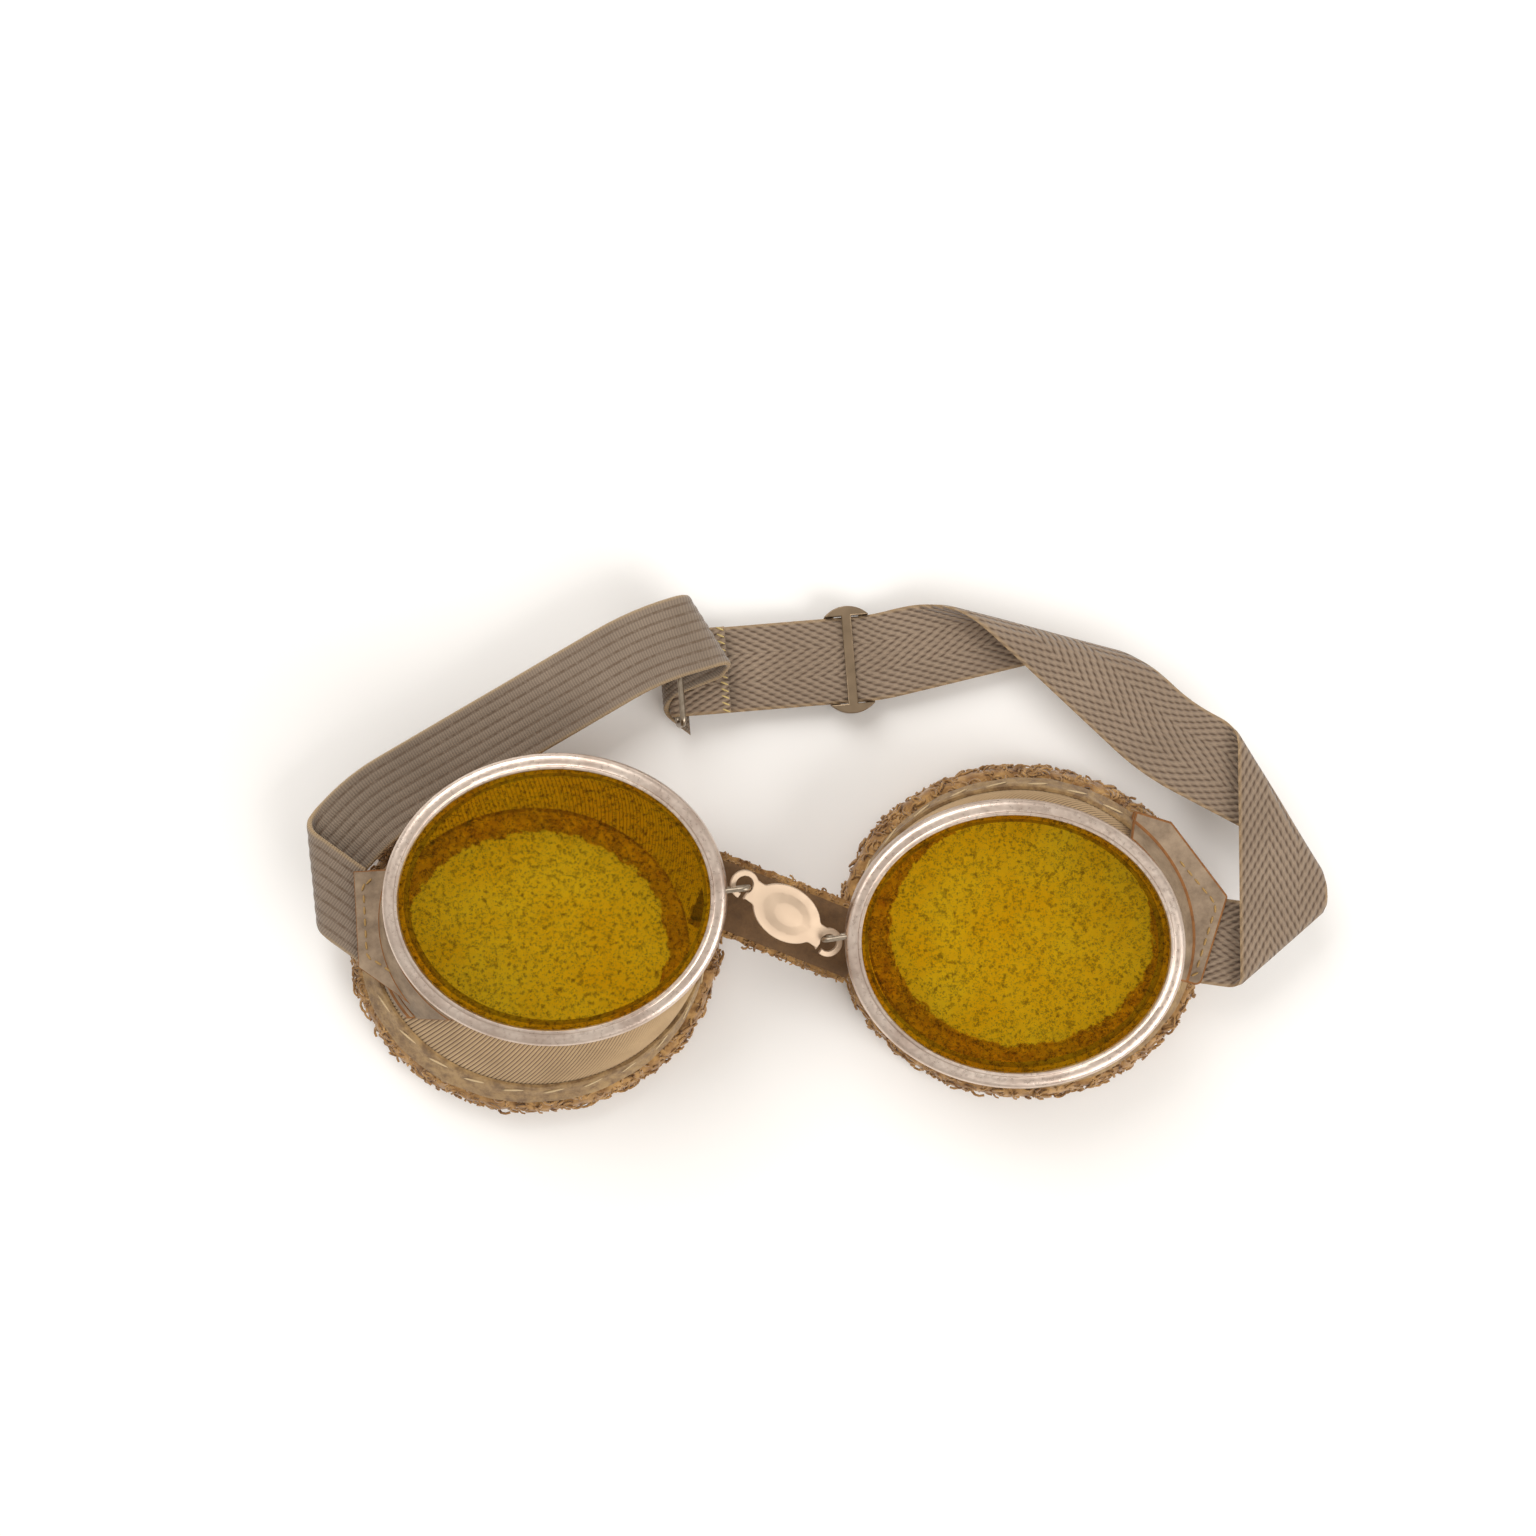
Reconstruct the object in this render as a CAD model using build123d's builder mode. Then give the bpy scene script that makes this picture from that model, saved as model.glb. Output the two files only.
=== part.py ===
# Aviator's flying goggles, folded away: two lens cups on a stamped bridge plate,
# with a ribbed elastic, a herringbone webbing strap, a wire link and a slider.
# Millimetres. +Z is up, the lenses look up, and the face pads stand on Z = 0.
from build123d import *
from math import asin, atan2, cos, degrees, radians, sin, sqrt
import os

# Lens and its metal rim
lens_length = 62.0
lens_width = 52.0
lens_thickness = 1.8
lens_hold = 1.0
rim_band = 3.2
rim_lip = 1.1
rim_height = 6.8
rim_top_round = 1.0
rim_foot_round = 0.4
bead_width = 0.8
bead_rise = 0.35
gasket_thickness = 0.7
gasket_width = 1.7
clamp_thickness = 0.8
seat_gap = 0.1

# Soft cup: fabric wall, leather band round its foot, plush face pad
wall_thickness = 1.4
wall_foot_length = 66.0
wall_foot_width = 59.0
band_thickness = 1.1
band_height = 5.0
pad_length = 76.0
pad_width = 68.5
pad_band = 11.0
pad_height = 10.0

# Strap tabs on the outer sides of the cups
tab_thickness = 1.3
tab_end_width = 19.0
tab_flare = 11.0
tab_flare_run = 9.0
tab_patch_height = 5.5
tab_slit = 0.3
tab_end_round = 1.5
strap_tuck = 2.6

# Bridge plate, wire loops and nose strap
eye_spacing = 21.2
eye_radius = 1.75
eye_rim = 1.1
hook_slot = 1.0
plate_thickness = 0.9
plate_body_length = 15.0
plate_body_width = 10.4
plate_neck_width = 4.4
plate_neck_round = 1.2
dome_length = 11.4
dome_width = 7.4
dome_crown_length = 6.0
dome_crown_width = 3.8
dome_rise = 0.8
plate_turn = -35.5
loop_wire = 1.0
loop_height = 4.8
loop_reach = 4.1
loop_corner = 1.1
loop_root = 1.0
pivot_inset = 1.1
nose_strap_width = 13.0
nose_strap_thickness = 1.5
nose_lining_thickness = 1.1
nose_lining_margin = 0.9
nose_strap_sag = 1.6
nose_strap_gap = 0.3
nose_strap_overrun = 4.0

# Elastic: its width and thickness, the runs between folds and the folds' radii
elastic_width = 16.0
elastic_thickness = 1.2
elastic_first_run = 10.0
elastic_bight_radius = 2.5
elastic_lead_run = 0.2
elastic_long_run = 52.0
elastic_long_sway = 40.0
elastic_end_sway = 60.0
elastic_crown_run = 0.3
elastic_roll_radius = 2.7
elastic_back_run = 6.5
elastic_gathered_width = 7.5
elastic_eye_radius = 2.2
elastic_eye_aside = 2.6
elastic_tail = 3.0

# Webbing: the same, from the right tab to the wire link
webbing_width = 17.6
webbing_thickness = 0.9
webbing_first_run = 7.2
webbing_fold_radius = 1.5
webbing_rise_run = 0.7
webbing_cross_run = 0.2
webbing_cross_sway = 45.0
webbing_cross_end = 0.2
webbing_roll_radius = 4.0
webbing_lead_run = 0.2
webbing_lead_sway = 45.0
webbing_last_run = 37.8
webbing_eye_radius = 1.15
webbing_tail = 11.0

# Wire link and slider
link_wire = 1.2
link_side_gap = 1.1
link_depth = 6.4
link_corner = 1.4
link_tilt = 78.0
slider_width = 9.2
slider_bar = 2.0
slider_thickness = 0.9
slider_cap_bulge = 2.0
slider_clearance = 0.2
slider_place = 36.0

# Left cup: rim height and turn, pad and loop off the rim's middle, nose strap and strap tab
left_rim_top = 35.0
left_turn = 2.2
left_pad_aside = -6.6
left_pad_back = -11.0
left_loop_offset = 2.2
left_loop_heading = 187.0
left_nose_drop = 8.5
left_nose_bearing = 12.5
left_tab_height = 18.4
left_tab_bearing = 177.4
left_tab_heading = 183.0
left_tab_reach = 5.0
left_strap_offset = -1.4
left_strap_heading = 144.5

# Right cup: the same
right_rim_top = 29.0
right_turn = -2.6
right_pad_aside = 3.6
right_pad_back = 0.8
right_loop_offset = 0.7
right_loop_heading = 8.5
right_nose_drop = 3.5
right_nose_bearing = 183.0
right_tab_height = 12.6
right_tab_bearing = 1.0
right_tab_heading = -17.0
right_tab_reach = 6.2
right_strap_offset = 0.0
right_strap_heading = -8.0

cups = {
    "left": {
        "side": -1, "rim_top": left_rim_top, "turn": left_turn,
        "pad_shift": Vector(left_pad_aside, left_pad_back),
        "loop_offset": left_loop_offset, "loop_heading": left_loop_heading,
        "nose_drop": left_nose_drop, "nose_bearing": left_nose_bearing,
        "tab_height": left_tab_height, "tab_bearing": left_tab_bearing,
        "tab_heading": left_tab_heading, "tab_reach": left_tab_reach,
        "strap_offset": left_strap_offset, "strap_heading": left_strap_heading,
        "strap_thickness": elastic_thickness,
    },
    "right": {
        "side": 1, "rim_top": right_rim_top, "turn": right_turn,
        "pad_shift": Vector(right_pad_aside, right_pad_back),
        "loop_offset": right_loop_offset, "loop_heading": right_loop_heading,
        "nose_drop": right_nose_drop, "nose_bearing": right_nose_bearing,
        "tab_height": right_tab_height, "tab_bearing": right_tab_bearing,
        "tab_heading": right_tab_heading, "tab_reach": right_tab_reach,
        "strap_offset": right_strap_offset, "strap_heading": right_strap_heading,
        "strap_thickness": webbing_thickness,
    },
}

rim_length = lens_length - 2 * lens_hold + 2 * rim_band
rim_width = lens_width - 2 * lens_hold + 2 * rim_band
rim_oval = (rim_length / 2, rim_width / 2)
opening_oval = (rim_length / 2 - rim_band, rim_width / 2 - rim_band)
lens_oval = (lens_length / 2, lens_width / 2)
skirt_oval = (lens_length / 2 + seat_gap, lens_width / 2 + seat_gap)
neck_oval = (skirt_oval[0] - seat_gap, skirt_oval[1] - seat_gap)
clamp_oval = (neck_oval[0] - wall_thickness - seat_gap, neck_oval[1] - wall_thickness - seat_gap)
foot_oval = (wall_foot_length / 2, wall_foot_width / 2)
lens_drop = rim_lip + seat_gap
gasket_drop = lens_drop + lens_thickness + seat_gap
wall_drop = gasket_drop + gasket_thickness + seat_gap
clamp_height = rim_height - wall_drop
wall_foot = pad_height + seat_gap
band_top = wall_foot + band_height
band_skin = seat_gap + band_thickness
origin = Vector(0, 0, 0)
upward = Vector(0, 0, 1)


def bearing(turn):
    """The horizontal direction at an angle from +X."""
    return Vector(cos(radians(turn)), sin(radians(turn)), 0)


def level_plane(point, z, turn):
    """A horizontal plane over a point, its X turned about Z."""
    return Plane(origin=(point.X, point.Y, z), x_dir=bearing(turn), z_dir=upward)


def grown(oval, extra):
    """An oval's semi-axes, moved out by a distance."""
    return (oval[0] + extra, oval[1] + extra)


class Cup:
    """Where one cup stands, and the outline of its slanting fabric wall."""

    def __init__(self, lay, pivot):
        self.lay = lay
        self.turn = lay["turn"]
        self.top = lay["rim_top"]
        self.pivot = pivot
        self.out = bearing(lay["loop_heading"])
        side_step = Vector(lay["side"] * (loop_reach + rim_length / 2), -lay["loop_offset"], 0)
        self.middle = Vector(pivot.X, pivot.Y, 0) + side_step
        self.neck = self.top - rim_height - seat_gap

    def wall_at(self, z, extra):
        """The wall's plane and outside semi-axes at a height."""
        share = min(max((z - wall_foot) / (self.neck - wall_foot), 0), 1)
        middle = self.middle + self.lay["pad_shift"] * (1 - share)
        oval = [foot + (neck - foot) * share + extra for foot, neck in zip(foot_oval, neck_oval)]
        return middle, oval

    def wall_loft(self, levels, mode=Mode.ADD):
        """A ruled loft of the wall's outline, moved out at each of some heights, added or cut."""
        outlines = []
        for z, extra in levels:
            middle, oval = self.wall_at(z, extra)
            with BuildSketch(level_plane(middle, z, self.turn)) as outline:
                Ellipse(oval[0], oval[1])
            outlines.append(outline.sketch)
        loft(outlines, ruled=True, mode=mode)

    def wall_point(self, z, heading):
        """The point of the wall at a height and bearing."""
        middle, oval = self.wall_at(z, 0)
        local = radians(heading - self.turn)
        reach = 1 / sqrt((cos(local) / oval[0]) ** 2 + (sin(local) / oval[1]) ** 2)
        return Vector(middle.X, middle.Y, z) + bearing(heading) * reach


def oval_ring(cup, upper, lower, outer, inner):
    """A flat oval ring about a cup's axis, between two heights."""
    with BuildSketch(level_plane(cup.middle, lower, cup.turn)) as outline:
        Ellipse(outer[0], outer[1])
        Ellipse(inner[0], inner[1], mode=Mode.SUBTRACT)
    extrude(outline.sketch, amount=upper - lower)


def make_rim(cup):
    """The metal rim: skirt, lip over the lens, raised bead, and two bores for the loop."""
    with BuildPart() as rim:
        oval_ring(cup, cup.top - rim_lip, cup.top - rim_height, rim_oval, skirt_oval)
        oval_ring(cup, cup.top, cup.top - rim_lip, rim_oval, opening_oval)
        ovals = rim.edges().filter_by(GeomType.ELLIPSE).group_by(Axis.Z)
        fillet(ovals[-1].sort_by(SortBy.LENGTH)[-1], rim_top_round)
        ovals = rim.edges().filter_by(GeomType.ELLIPSE).group_by(Axis.Z)
        fillet(ovals[0].sort_by(SortBy.LENGTH)[-1], rim_foot_round)
        oval_ring(cup, cup.top + bead_rise, cup.top, grown(opening_oval, bead_width), opening_oval)
        for level in (-loop_height / 2, loop_height / 2):
            with BuildSketch(Plane(origin=cup.pivot + upward * level, z_dir=cup.out)):
                Circle(loop_wire / 2 + seat_gap / 2)
            extrude(amount=loop_reach + rim_band, mode=Mode.SUBTRACT)
    return rim


def make_lens(cup):
    """The flat oval lens."""
    with BuildPart() as lens:
        with BuildSketch(level_plane(cup.middle, cup.top - lens_drop - lens_thickness, cup.turn)):
            Ellipse(lens_oval[0], lens_oval[1])
        extrude(amount=lens_thickness)
    return lens


def make_gasket(cup):
    """The soft ring that the lens is bedded on."""
    with BuildPart() as gasket:
        upper = cup.top - gasket_drop
        oval_ring(cup, upper, upper - gasket_thickness, lens_oval, grown(lens_oval, -gasket_width))
    return gasket


def make_clamp_ring(cup):
    """The inner metal ring that pinches the wall's edge against the rim's skirt."""
    with BuildPart() as clamp:
        upper = cup.top - wall_drop
        oval_ring(cup, upper, upper - clamp_height, clamp_oval, grown(clamp_oval, -clamp_thickness))
    return clamp


def make_side_wall(cup):
    """The fabric wall: a leaning oval tube from the pad up into the rim's skirt."""
    heights = (wall_foot, cup.neck, cup.top - wall_drop)
    with BuildPart() as wall:
        cup.wall_loft([(z, 0) for z in heights])
        cup.wall_loft([(z, -wall_thickness) for z in heights], Mode.SUBTRACT)
    return wall


def make_base_band(cup):
    """The leather band sewn round the wall's foot."""
    with BuildPart() as band:
        cup.wall_loft([(wall_foot, band_skin), (band_top, band_skin)])
        cup.wall_loft([(wall_foot, seat_gap), (band_top, seat_gap)], Mode.SUBTRACT)
    return band


def make_face_pad(cup):
    """The plush pad ring: a crowned cushion with drawn-in sides and a flat sole."""
    skin_shares = ((0.0, 0.26), (0.14, 0.10), (0.45, 0.0), (0.78, 0.07), (1.0, 0.27))
    middle = cup.wall_at(wall_foot, 0)[0]
    with BuildPart() as pad:
        for skin, mode in ((0, Mode.ADD), (1, Mode.SUBTRACT)):
            outlines = []
            for rise_share, inset_share in skin_shares:
                inset = pad_band * (inset_share if skin == 0 else 1 - inset_share)
                with BuildSketch(level_plane(middle, pad_height * rise_share, cup.turn)) as outline:
                    Ellipse(pad_length / 2 - inset, pad_width / 2 - inset)
                outlines.append(outline.sketch)
            loft(outlines, mode=mode)
    return pad


def make_tab_layer(cup, tongue_foot, patch_low, patch_high):
    """One leather layer of a strap tab: a flat tongue and a patch that hugs the wall."""
    heading, reach = cup.lay["tab_heading"], cup.lay["tab_reach"]
    root = cup.wall_point(cup.lay["tab_height"], cup.lay["tab_bearing"])
    root_depth = foot_oval[0] / 2
    low_side, high_side = -tab_end_width / 2, tab_end_width / 2 + tab_flare
    skin = seat_gap + tab_thickness
    levels = [(patch_low, skin), (patch_high, skin)]
    if patch_low < band_top < patch_high:
        levels = [(patch_low, skin + band_skin), (band_top, skin + band_skin), (patch_high, skin)]
    with BuildPart() as patch:
        cup.wall_loft(levels)
        with BuildSketch(level_plane(root, patch_low, heading)):
            with Locations((0, (low_side + high_side) / 2)):
                Rectangle(2 * root_depth, high_side - low_side)
        extrude(amount=patch_high - patch_low, mode=Mode.INTERSECT)
    with BuildPart() as layer:
        with BuildSketch(level_plane(root, tongue_foot, heading)) as tongue:
            with BuildLine():
                Polyline(
                    (-root_depth, low_side), (reach, low_side), (reach, tab_end_width / 2),
                    (-tab_flare_run, high_side), (-root_depth, high_side), close=True,
                )
            make_face()
            fillet(tongue.vertices().group_by(Axis(root, bearing(heading)))[-1], tab_end_round)
        extrude(amount=tab_thickness)
        add(patch.part)
        cup.wall_loft([(wall_foot, seat_gap), (cup.neck, seat_gap)], Mode.SUBTRACT)
        if patch_low < band_top:
            clear = band_skin + seat_gap
            cup.wall_loft([(wall_foot, clear), (band_top, clear)], Mode.SUBTRACT)
    return layer


def tab_tongue_gap(cup):
    """Half the slit between the two layers, which holds the strap's end."""
    return cup.lay["strap_thickness"] / 2 + tab_slit


def make_tab(cup):
    """The outer leather layer, above the strap's end."""
    foot = cup.lay["tab_height"] + tab_tongue_gap(cup)
    return make_tab_layer(cup, foot, foot, foot + tab_patch_height)


def make_tab_lining(cup):
    """The inner leather layer, below the strap's end."""
    top = cup.lay["tab_height"] - tab_tongue_gap(cup)
    return make_tab_layer(cup, top - tab_thickness, top - tab_thickness, top)


def make_wire_loop(cup):
    """The U of wire: two legs out of the rim and an upright through the plate's eye."""
    leg = cup.out * (loop_reach + loop_root)
    half = upward * (loop_height / 2)
    corners = (cup.pivot + half + leg, cup.pivot + half, cup.pivot - half, cup.pivot - half + leg)
    with BuildPart() as loop:
        with BuildLine():
            FilletPolyline(*corners, radius=loop_corner)
        with BuildSketch(Plane(origin=corners[0], z_dir=-cup.out)):
            Circle(loop_wire / 2)
        sweep()
    return loop


cup_makers = {
    "rim": make_rim, "lens": make_lens, "gasket": make_gasket, "clamp_ring": make_clamp_ring,
    "side_wall": make_side_wall, "base_band": make_base_band, "face_pad": make_face_pad,
    "tab": make_tab, "tab_lining": make_tab_lining, "wire_loop": make_wire_loop,
}

# The bridge plate's frame: X runs down from the left eye to the right eye
plate_drop = left_rim_top - right_rim_top
plate_height = (left_rim_top + right_rim_top - rim_height) / 2
plate_tilt = degrees(asin(plate_drop / (eye_spacing - 2 * pivot_inset)))
plate_across = upward.cross(bearing(plate_turn))
plate_along = bearing(plate_turn).rotate(Axis(origin, plate_across), plate_tilt)
plate_middle = upward * plate_height
plate_plane = Plane(origin=plate_middle, x_dir=plate_along, z_dir=plate_along.cross(plate_across))

pieces = {}
placed = {}
for side_name, lay in cups.items():
    pivot = plate_middle + plate_along * (lay["side"] * (eye_spacing / 2 - pivot_inset))
    placed[side_name] = Cup(lay, pivot)
    for piece_name, maker in cup_makers.items():
        pieces[f"{side_name}_{piece_name}"] = maker(placed[side_name])
left_cup, right_cup = placed["left"], placed["right"]

# Stamped bridge plate: a domed oval between two hooks, each open beside the plate's corner
eye_places = ((-eye_spacing / 2, 0), (eye_spacing / 2, 0))
with BuildPart() as bridge_plate:
    with BuildSketch(plate_plane) as blank:
        Ellipse(plate_body_length / 2, plate_body_width / 2)
        Rectangle(eye_spacing, plate_neck_width)
        fillet(blank.vertices().filter_by(lambda v: abs(v.X) < plate_body_length / 2), plate_neck_round)
        with Locations(*eye_places):
            Circle(eye_radius + eye_rim)
            Circle(eye_radius, mode=Mode.SUBTRACT)
        for side in (-1, 1):
            with Locations((side * (eye_spacing / 2 - eye_radius / 2), -eye_radius - eye_rim / 2)):
                Rectangle(hook_slot, 2 * eye_radius, mode=Mode.SUBTRACT)
    extrude(amount=plate_thickness / 2, both=True)
    for level, mode in ((plate_thickness / 2, Mode.ADD), (-plate_thickness / 2, Mode.SUBTRACT)):
        with BuildSketch(plate_plane.offset(level)):
            Ellipse(dome_length / 2, dome_width / 2)
        with BuildSketch(plate_plane.offset(level + dome_rise)):
            Ellipse(dome_crown_length / 2, dome_crown_width / 2)
        loft(mode=mode)
pieces["bridge_plate"] = bridge_plate


def make_sling(width, thickness, drop):
    """A strip that sags between the two cups, its ends cut to the lean of their walls."""
    left_hold, right_hold = (cup.wall_point(cup.neck - cup.lay["nose_drop"], cup.lay["nose_bearing"])
                             for cup in (left_cup, right_cup))
    along = (right_hold - left_hold).normalized()
    start = left_hold - along * nose_strap_overrun - upward * drop
    end = right_hold + along * nose_strap_overrun - upward * drop
    middle = (start + end) / 2 - upward * nose_strap_sag
    with BuildPart() as strip:
        with BuildLine():
            hang = ThreePointArc(start, middle, end)
        with BuildSketch(Plane(origin=start, x_dir=upward.cross(along), z_dir=hang % 0)):
            Rectangle(width, thickness)
        sweep()
        for cup in (left_cup, right_cup):
            cup.wall_loft([(wall_foot, nose_strap_gap), (cup.neck, nose_strap_gap)], Mode.SUBTRACT)
    return strip


lining_drop = (nose_strap_thickness + nose_lining_thickness) / 2 + seat_gap
lining_width = nose_strap_width + 2 * nose_lining_margin
pieces["nose_strap"] = make_sling(nose_strap_width, nose_strap_thickness, 0)
pieces["nose_strap_lining"] = make_sling(lining_width, nose_lining_thickness, lining_drop)


class StrapPath:
    """A flat strap laid out as lines across it; a run is the length of its shorter edge."""

    def __init__(self, start, heading, width, end_bearing):
        self.width = width
        self.point = start
        self.across = upward.cross(bearing(heading))
        self.along = bearing(heading)
        self.lines = []
        self.length = 0
        self.lay_line(self.crease(end_bearing))

    def normal(self):
        """The side that the strap's first face looks to."""
        return self.along.cross(self.across)

    def facing(self):
        """1 while that face looks up, -1 while it looks down."""
        return 1 if self.normal().Z > 0 else -1

    def crease(self, line_bearing):
        """The direction of a line across the strap at a bearing."""
        heading = degrees(atan2(self.along.Y, self.along.X))
        skew = radians((self.facing() * (line_bearing - heading)) % 180)
        return self.along * cos(skew) + self.across * sin(skew)

    def lean(self, crease):
        """How far a line leans along the strap from its middle to its edge."""
        return self.width / 2 * crease.dot(self.along) / crease.dot(self.across)

    def run(self, length):
        """The next flat stretch."""
        self.length = length

    def lay_line(self, crease, parts=3):
        """Goes on by the stretch, and further by as much as its two end lines lean apart."""
        lean = self.lean(crease)
        half = crease * (self.width / 2 / crease.dot(self.across))
        if self.lines:
            start, last_half = self.point, self.last_half
            self.point = start + self.along * (self.length + abs(lean - self.last_lean))
            for i in range(1, parts):
                between = last_half * (1 - i / parts) + half * (i / parts)
                middle = start * (1 - i / parts) + self.point * (i / parts)
                self.lines.append((middle, between.normalized(), 2 * between.length, self.normal()))
        self.lines.append((self.point, crease, 2 * half.length, self.normal()))
        self.leave_line(crease)

    def leave_line(self, crease):
        """Notes the line that the next stretch starts from."""
        self.last_half = crease * (self.width / 2 / crease.dot(self.across))
        self.last_lean = self.lean(crease)
        self.length = 0

    def sway(self, turn, radius, parts=3):
        """A slow turn in the strap's own plane."""
        self.lay_line(self.across)
        turn = turn * self.facing()
        spin = Axis(origin, self.normal())
        for i in range(parts):
            centre = self.point + self.across * (radius if turn > 0 else -radius)
            self.point = centre + (self.point - centre).rotate(spin, turn / parts)
            self.across = self.across.rotate(spin, turn / parts)
            self.along = self.along.rotate(spin, turn / parts)
            self.lines.append((self.point, self.across, self.width, self.normal()))
        self.leave_line(self.across)

    def fold(self, line_bearing, turn, radius, parts=6):
        """A bend about a line across the strap: a positive turn brings the strap up and over."""
        crease = self.crease(line_bearing)
        self.lay_line(crease)
        turn = turn * self.facing()
        normal = self.normal()
        inward = normal if turn > 0 else -normal
        centre = self.point + inward * radius
        spin = Axis(origin, crease.cross(normal).cross(inward))
        arm, length = self.point - centre, self.width / crease.dot(self.across)
        slip = crease * (radius * radians(abs(turn)) * crease.dot(self.along) / crease.dot(self.across))
        for i in range(1, parts + 1):
            share = i / parts
            self.point = centre + arm.rotate(spin, abs(turn) * share) + slip * share
            self.lines.append((self.point, crease, length, normal.rotate(spin, abs(turn) * share)))
        self.along = self.along.rotate(spin, abs(turn))
        self.across = self.across.rotate(spin, abs(turn))
        self.leave_line(crease)
        return centre + slip / 2

    def body(self, thickness):
        """A ruled loft through the cross-sections that stand on the lines."""
        with BuildPart() as strap:
            for point, across, length, normal in self.lines:
                with BuildSketch(Plane(origin=point, x_dir=across, z_dir=across.cross(normal))):
                    Rectangle(length, thickness)
            loft(ruled=True)
        return strap


def tab_mouth(cup):
    """The middle of a tab's outer edge, at the strap's height."""
    root = cup.wall_point(cup.lay["tab_height"], cup.lay["tab_bearing"])
    return root + bearing(cup.lay["tab_heading"]) * cup.lay["tab_reach"]


def strap_from_tab(cup, width):
    """A strap path that starts inside a cup's tab."""
    heading = cup.lay["strap_heading"]
    aside = upward.cross(bearing(cup.lay["tab_heading"])) * cup.lay["strap_offset"]
    start = tab_mouth(cup) + aside - bearing(heading) * strap_tuck
    return StrapPath(start, heading, width, cup.lay["tab_heading"] + 90)


# Webbing: out of the right tab, up, under and across, and back to the link's lower bar
webbing = strap_from_tab(right_cup, webbing_width)
webbing.run(webbing_first_run)
webbing.fold(41.3, 180, webbing_fold_radius)
webbing.run(webbing_rise_run)
webbing.fold(121.4, -180, webbing_fold_radius)
webbing.run(webbing_cross_run)
webbing.sway(-15.4, webbing_cross_sway)
webbing.run(webbing_cross_end)
webbing.fold(165.2, -180, webbing_roll_radius, 8)
webbing.run(webbing_lead_run)
webbing.sway(-8.9, webbing_lead_sway)
webbing.run(webbing_last_run)
link_along, link_across = -webbing.along, webbing.across
link_bearing = degrees(atan2(link_across.Y, link_across.X))
link_middle = webbing.fold(link_bearing, 180, webbing_eye_radius)
webbing.run(webbing_tail)
webbing.lay_line(webbing.across)
pieces["webbing_strap"] = webbing.body(webbing_thickness)


def elastic_path(first_run, long_run, roll_radius):
    """The elastic from the left tab to its eye round the link, and the eye's middle."""
    path = strap_from_tab(left_cup, elastic_width)
    path.run(first_run)
    path.fold(95.8, -180, elastic_bight_radius)
    path.run(elastic_lead_run)
    path.sway(-16.8, elastic_long_sway)
    path.run(long_run)
    path.sway(-13.9, elastic_end_sway)
    path.run(elastic_crown_run)
    path.fold(121.5, -180, roll_radius, 8)
    path.width = elastic_gathered_width
    path.run(elastic_back_run)
    eye_middle = path.fold(link_bearing, -180, elastic_eye_radius)
    return path, eye_middle


def component(whole, first, second, third):
    """How much of the first of three directions a vector holds."""
    normal = second.cross(third)
    return whole.dot(normal) / first.dot(normal)


# The elastic's two runs and its upper roll are drawn out until its eye meets the link's bar
settled_lengths = (elastic_first_run, elastic_long_run, elastic_roll_radius)
eye_middle = elastic_path(*settled_lengths)[1]
steps = []
for i in range(3):
    longer = [length + (1 if i == j else 0) for j, length in enumerate(settled_lengths)]
    steps.append(elastic_path(*longer)[1] - eye_middle)
miss = link_middle - link_across * elastic_eye_aside - eye_middle
shares = [component(miss, *(steps[i:] + steps[:i])) for i in range(3)]
elastic, eye_middle = elastic_path(*(length + share for length, share in zip(settled_lengths, shares)))
elastic.run(elastic_tail)
elastic.lay_line(elastic.crease(link_bearing))
pieces["elastic_band"] = elastic.body(elastic_thickness)

# Wire link: a closed rectangle of wire that stands up from the webbing's eye
link_rise = link_along * cos(radians(link_tilt)) + upward * sin(radians(link_tilt))
link_half = link_across * ((webbing_width + link_wire) / 2 + link_side_gap)
link_top = link_middle + link_rise * link_depth
link_corners = (link_middle + link_half, link_top + link_half, link_top - link_half, link_middle - link_half)
with BuildPart() as wire_link:
    with BuildLine():
        FilletPolyline(*link_corners, radius=link_corner, close=True)
    with BuildSketch(Plane(origin=link_middle, z_dir=link_across)):
        Circle(link_wire / 2)
    sweep()
pieces["wire_link"] = wire_link

# Slider: two bars below the webbing and one above it, joined by a rounded cap at each end
slider_middle = link_middle - upward * webbing_eye_radius + link_along * slider_place
slider_plane = Plane(origin=slider_middle, x_dir=link_along, z_dir=upward)
slider_reach = webbing_width / 2 + slider_clearance
slider_level = webbing_thickness / 2 + slider_clearance
with BuildPart() as slider:
    with BuildSketch(slider_plane.offset(-slider_level)):
        with Locations((slider_bar / 2 - slider_width / 2, 0), (slider_width / 2 - slider_bar / 2, 0)):
            Rectangle(slider_bar, 2 * slider_reach)
    extrude(amount=-slider_thickness)
    with BuildSketch(slider_plane.offset(slider_level)):
        Rectangle(slider_bar, 2 * slider_reach)
    extrude(amount=slider_thickness)
    for end in (-1, 1):
        with BuildSketch(slider_plane.offset(-slider_level - slider_thickness)):
            with BuildLine():
                corner_a = (-slider_width / 2, end * slider_reach)
                corner_b = (slider_width / 2, end * slider_reach)
                ThreePointArc(corner_a, (0, end * (slider_reach + slider_cap_bulge)), corner_b)
                Line(corner_b, corner_a)
            make_face()
        extrude(amount=2 * (slider_level + slider_thickness))
pieces["slider"] = slider

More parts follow.
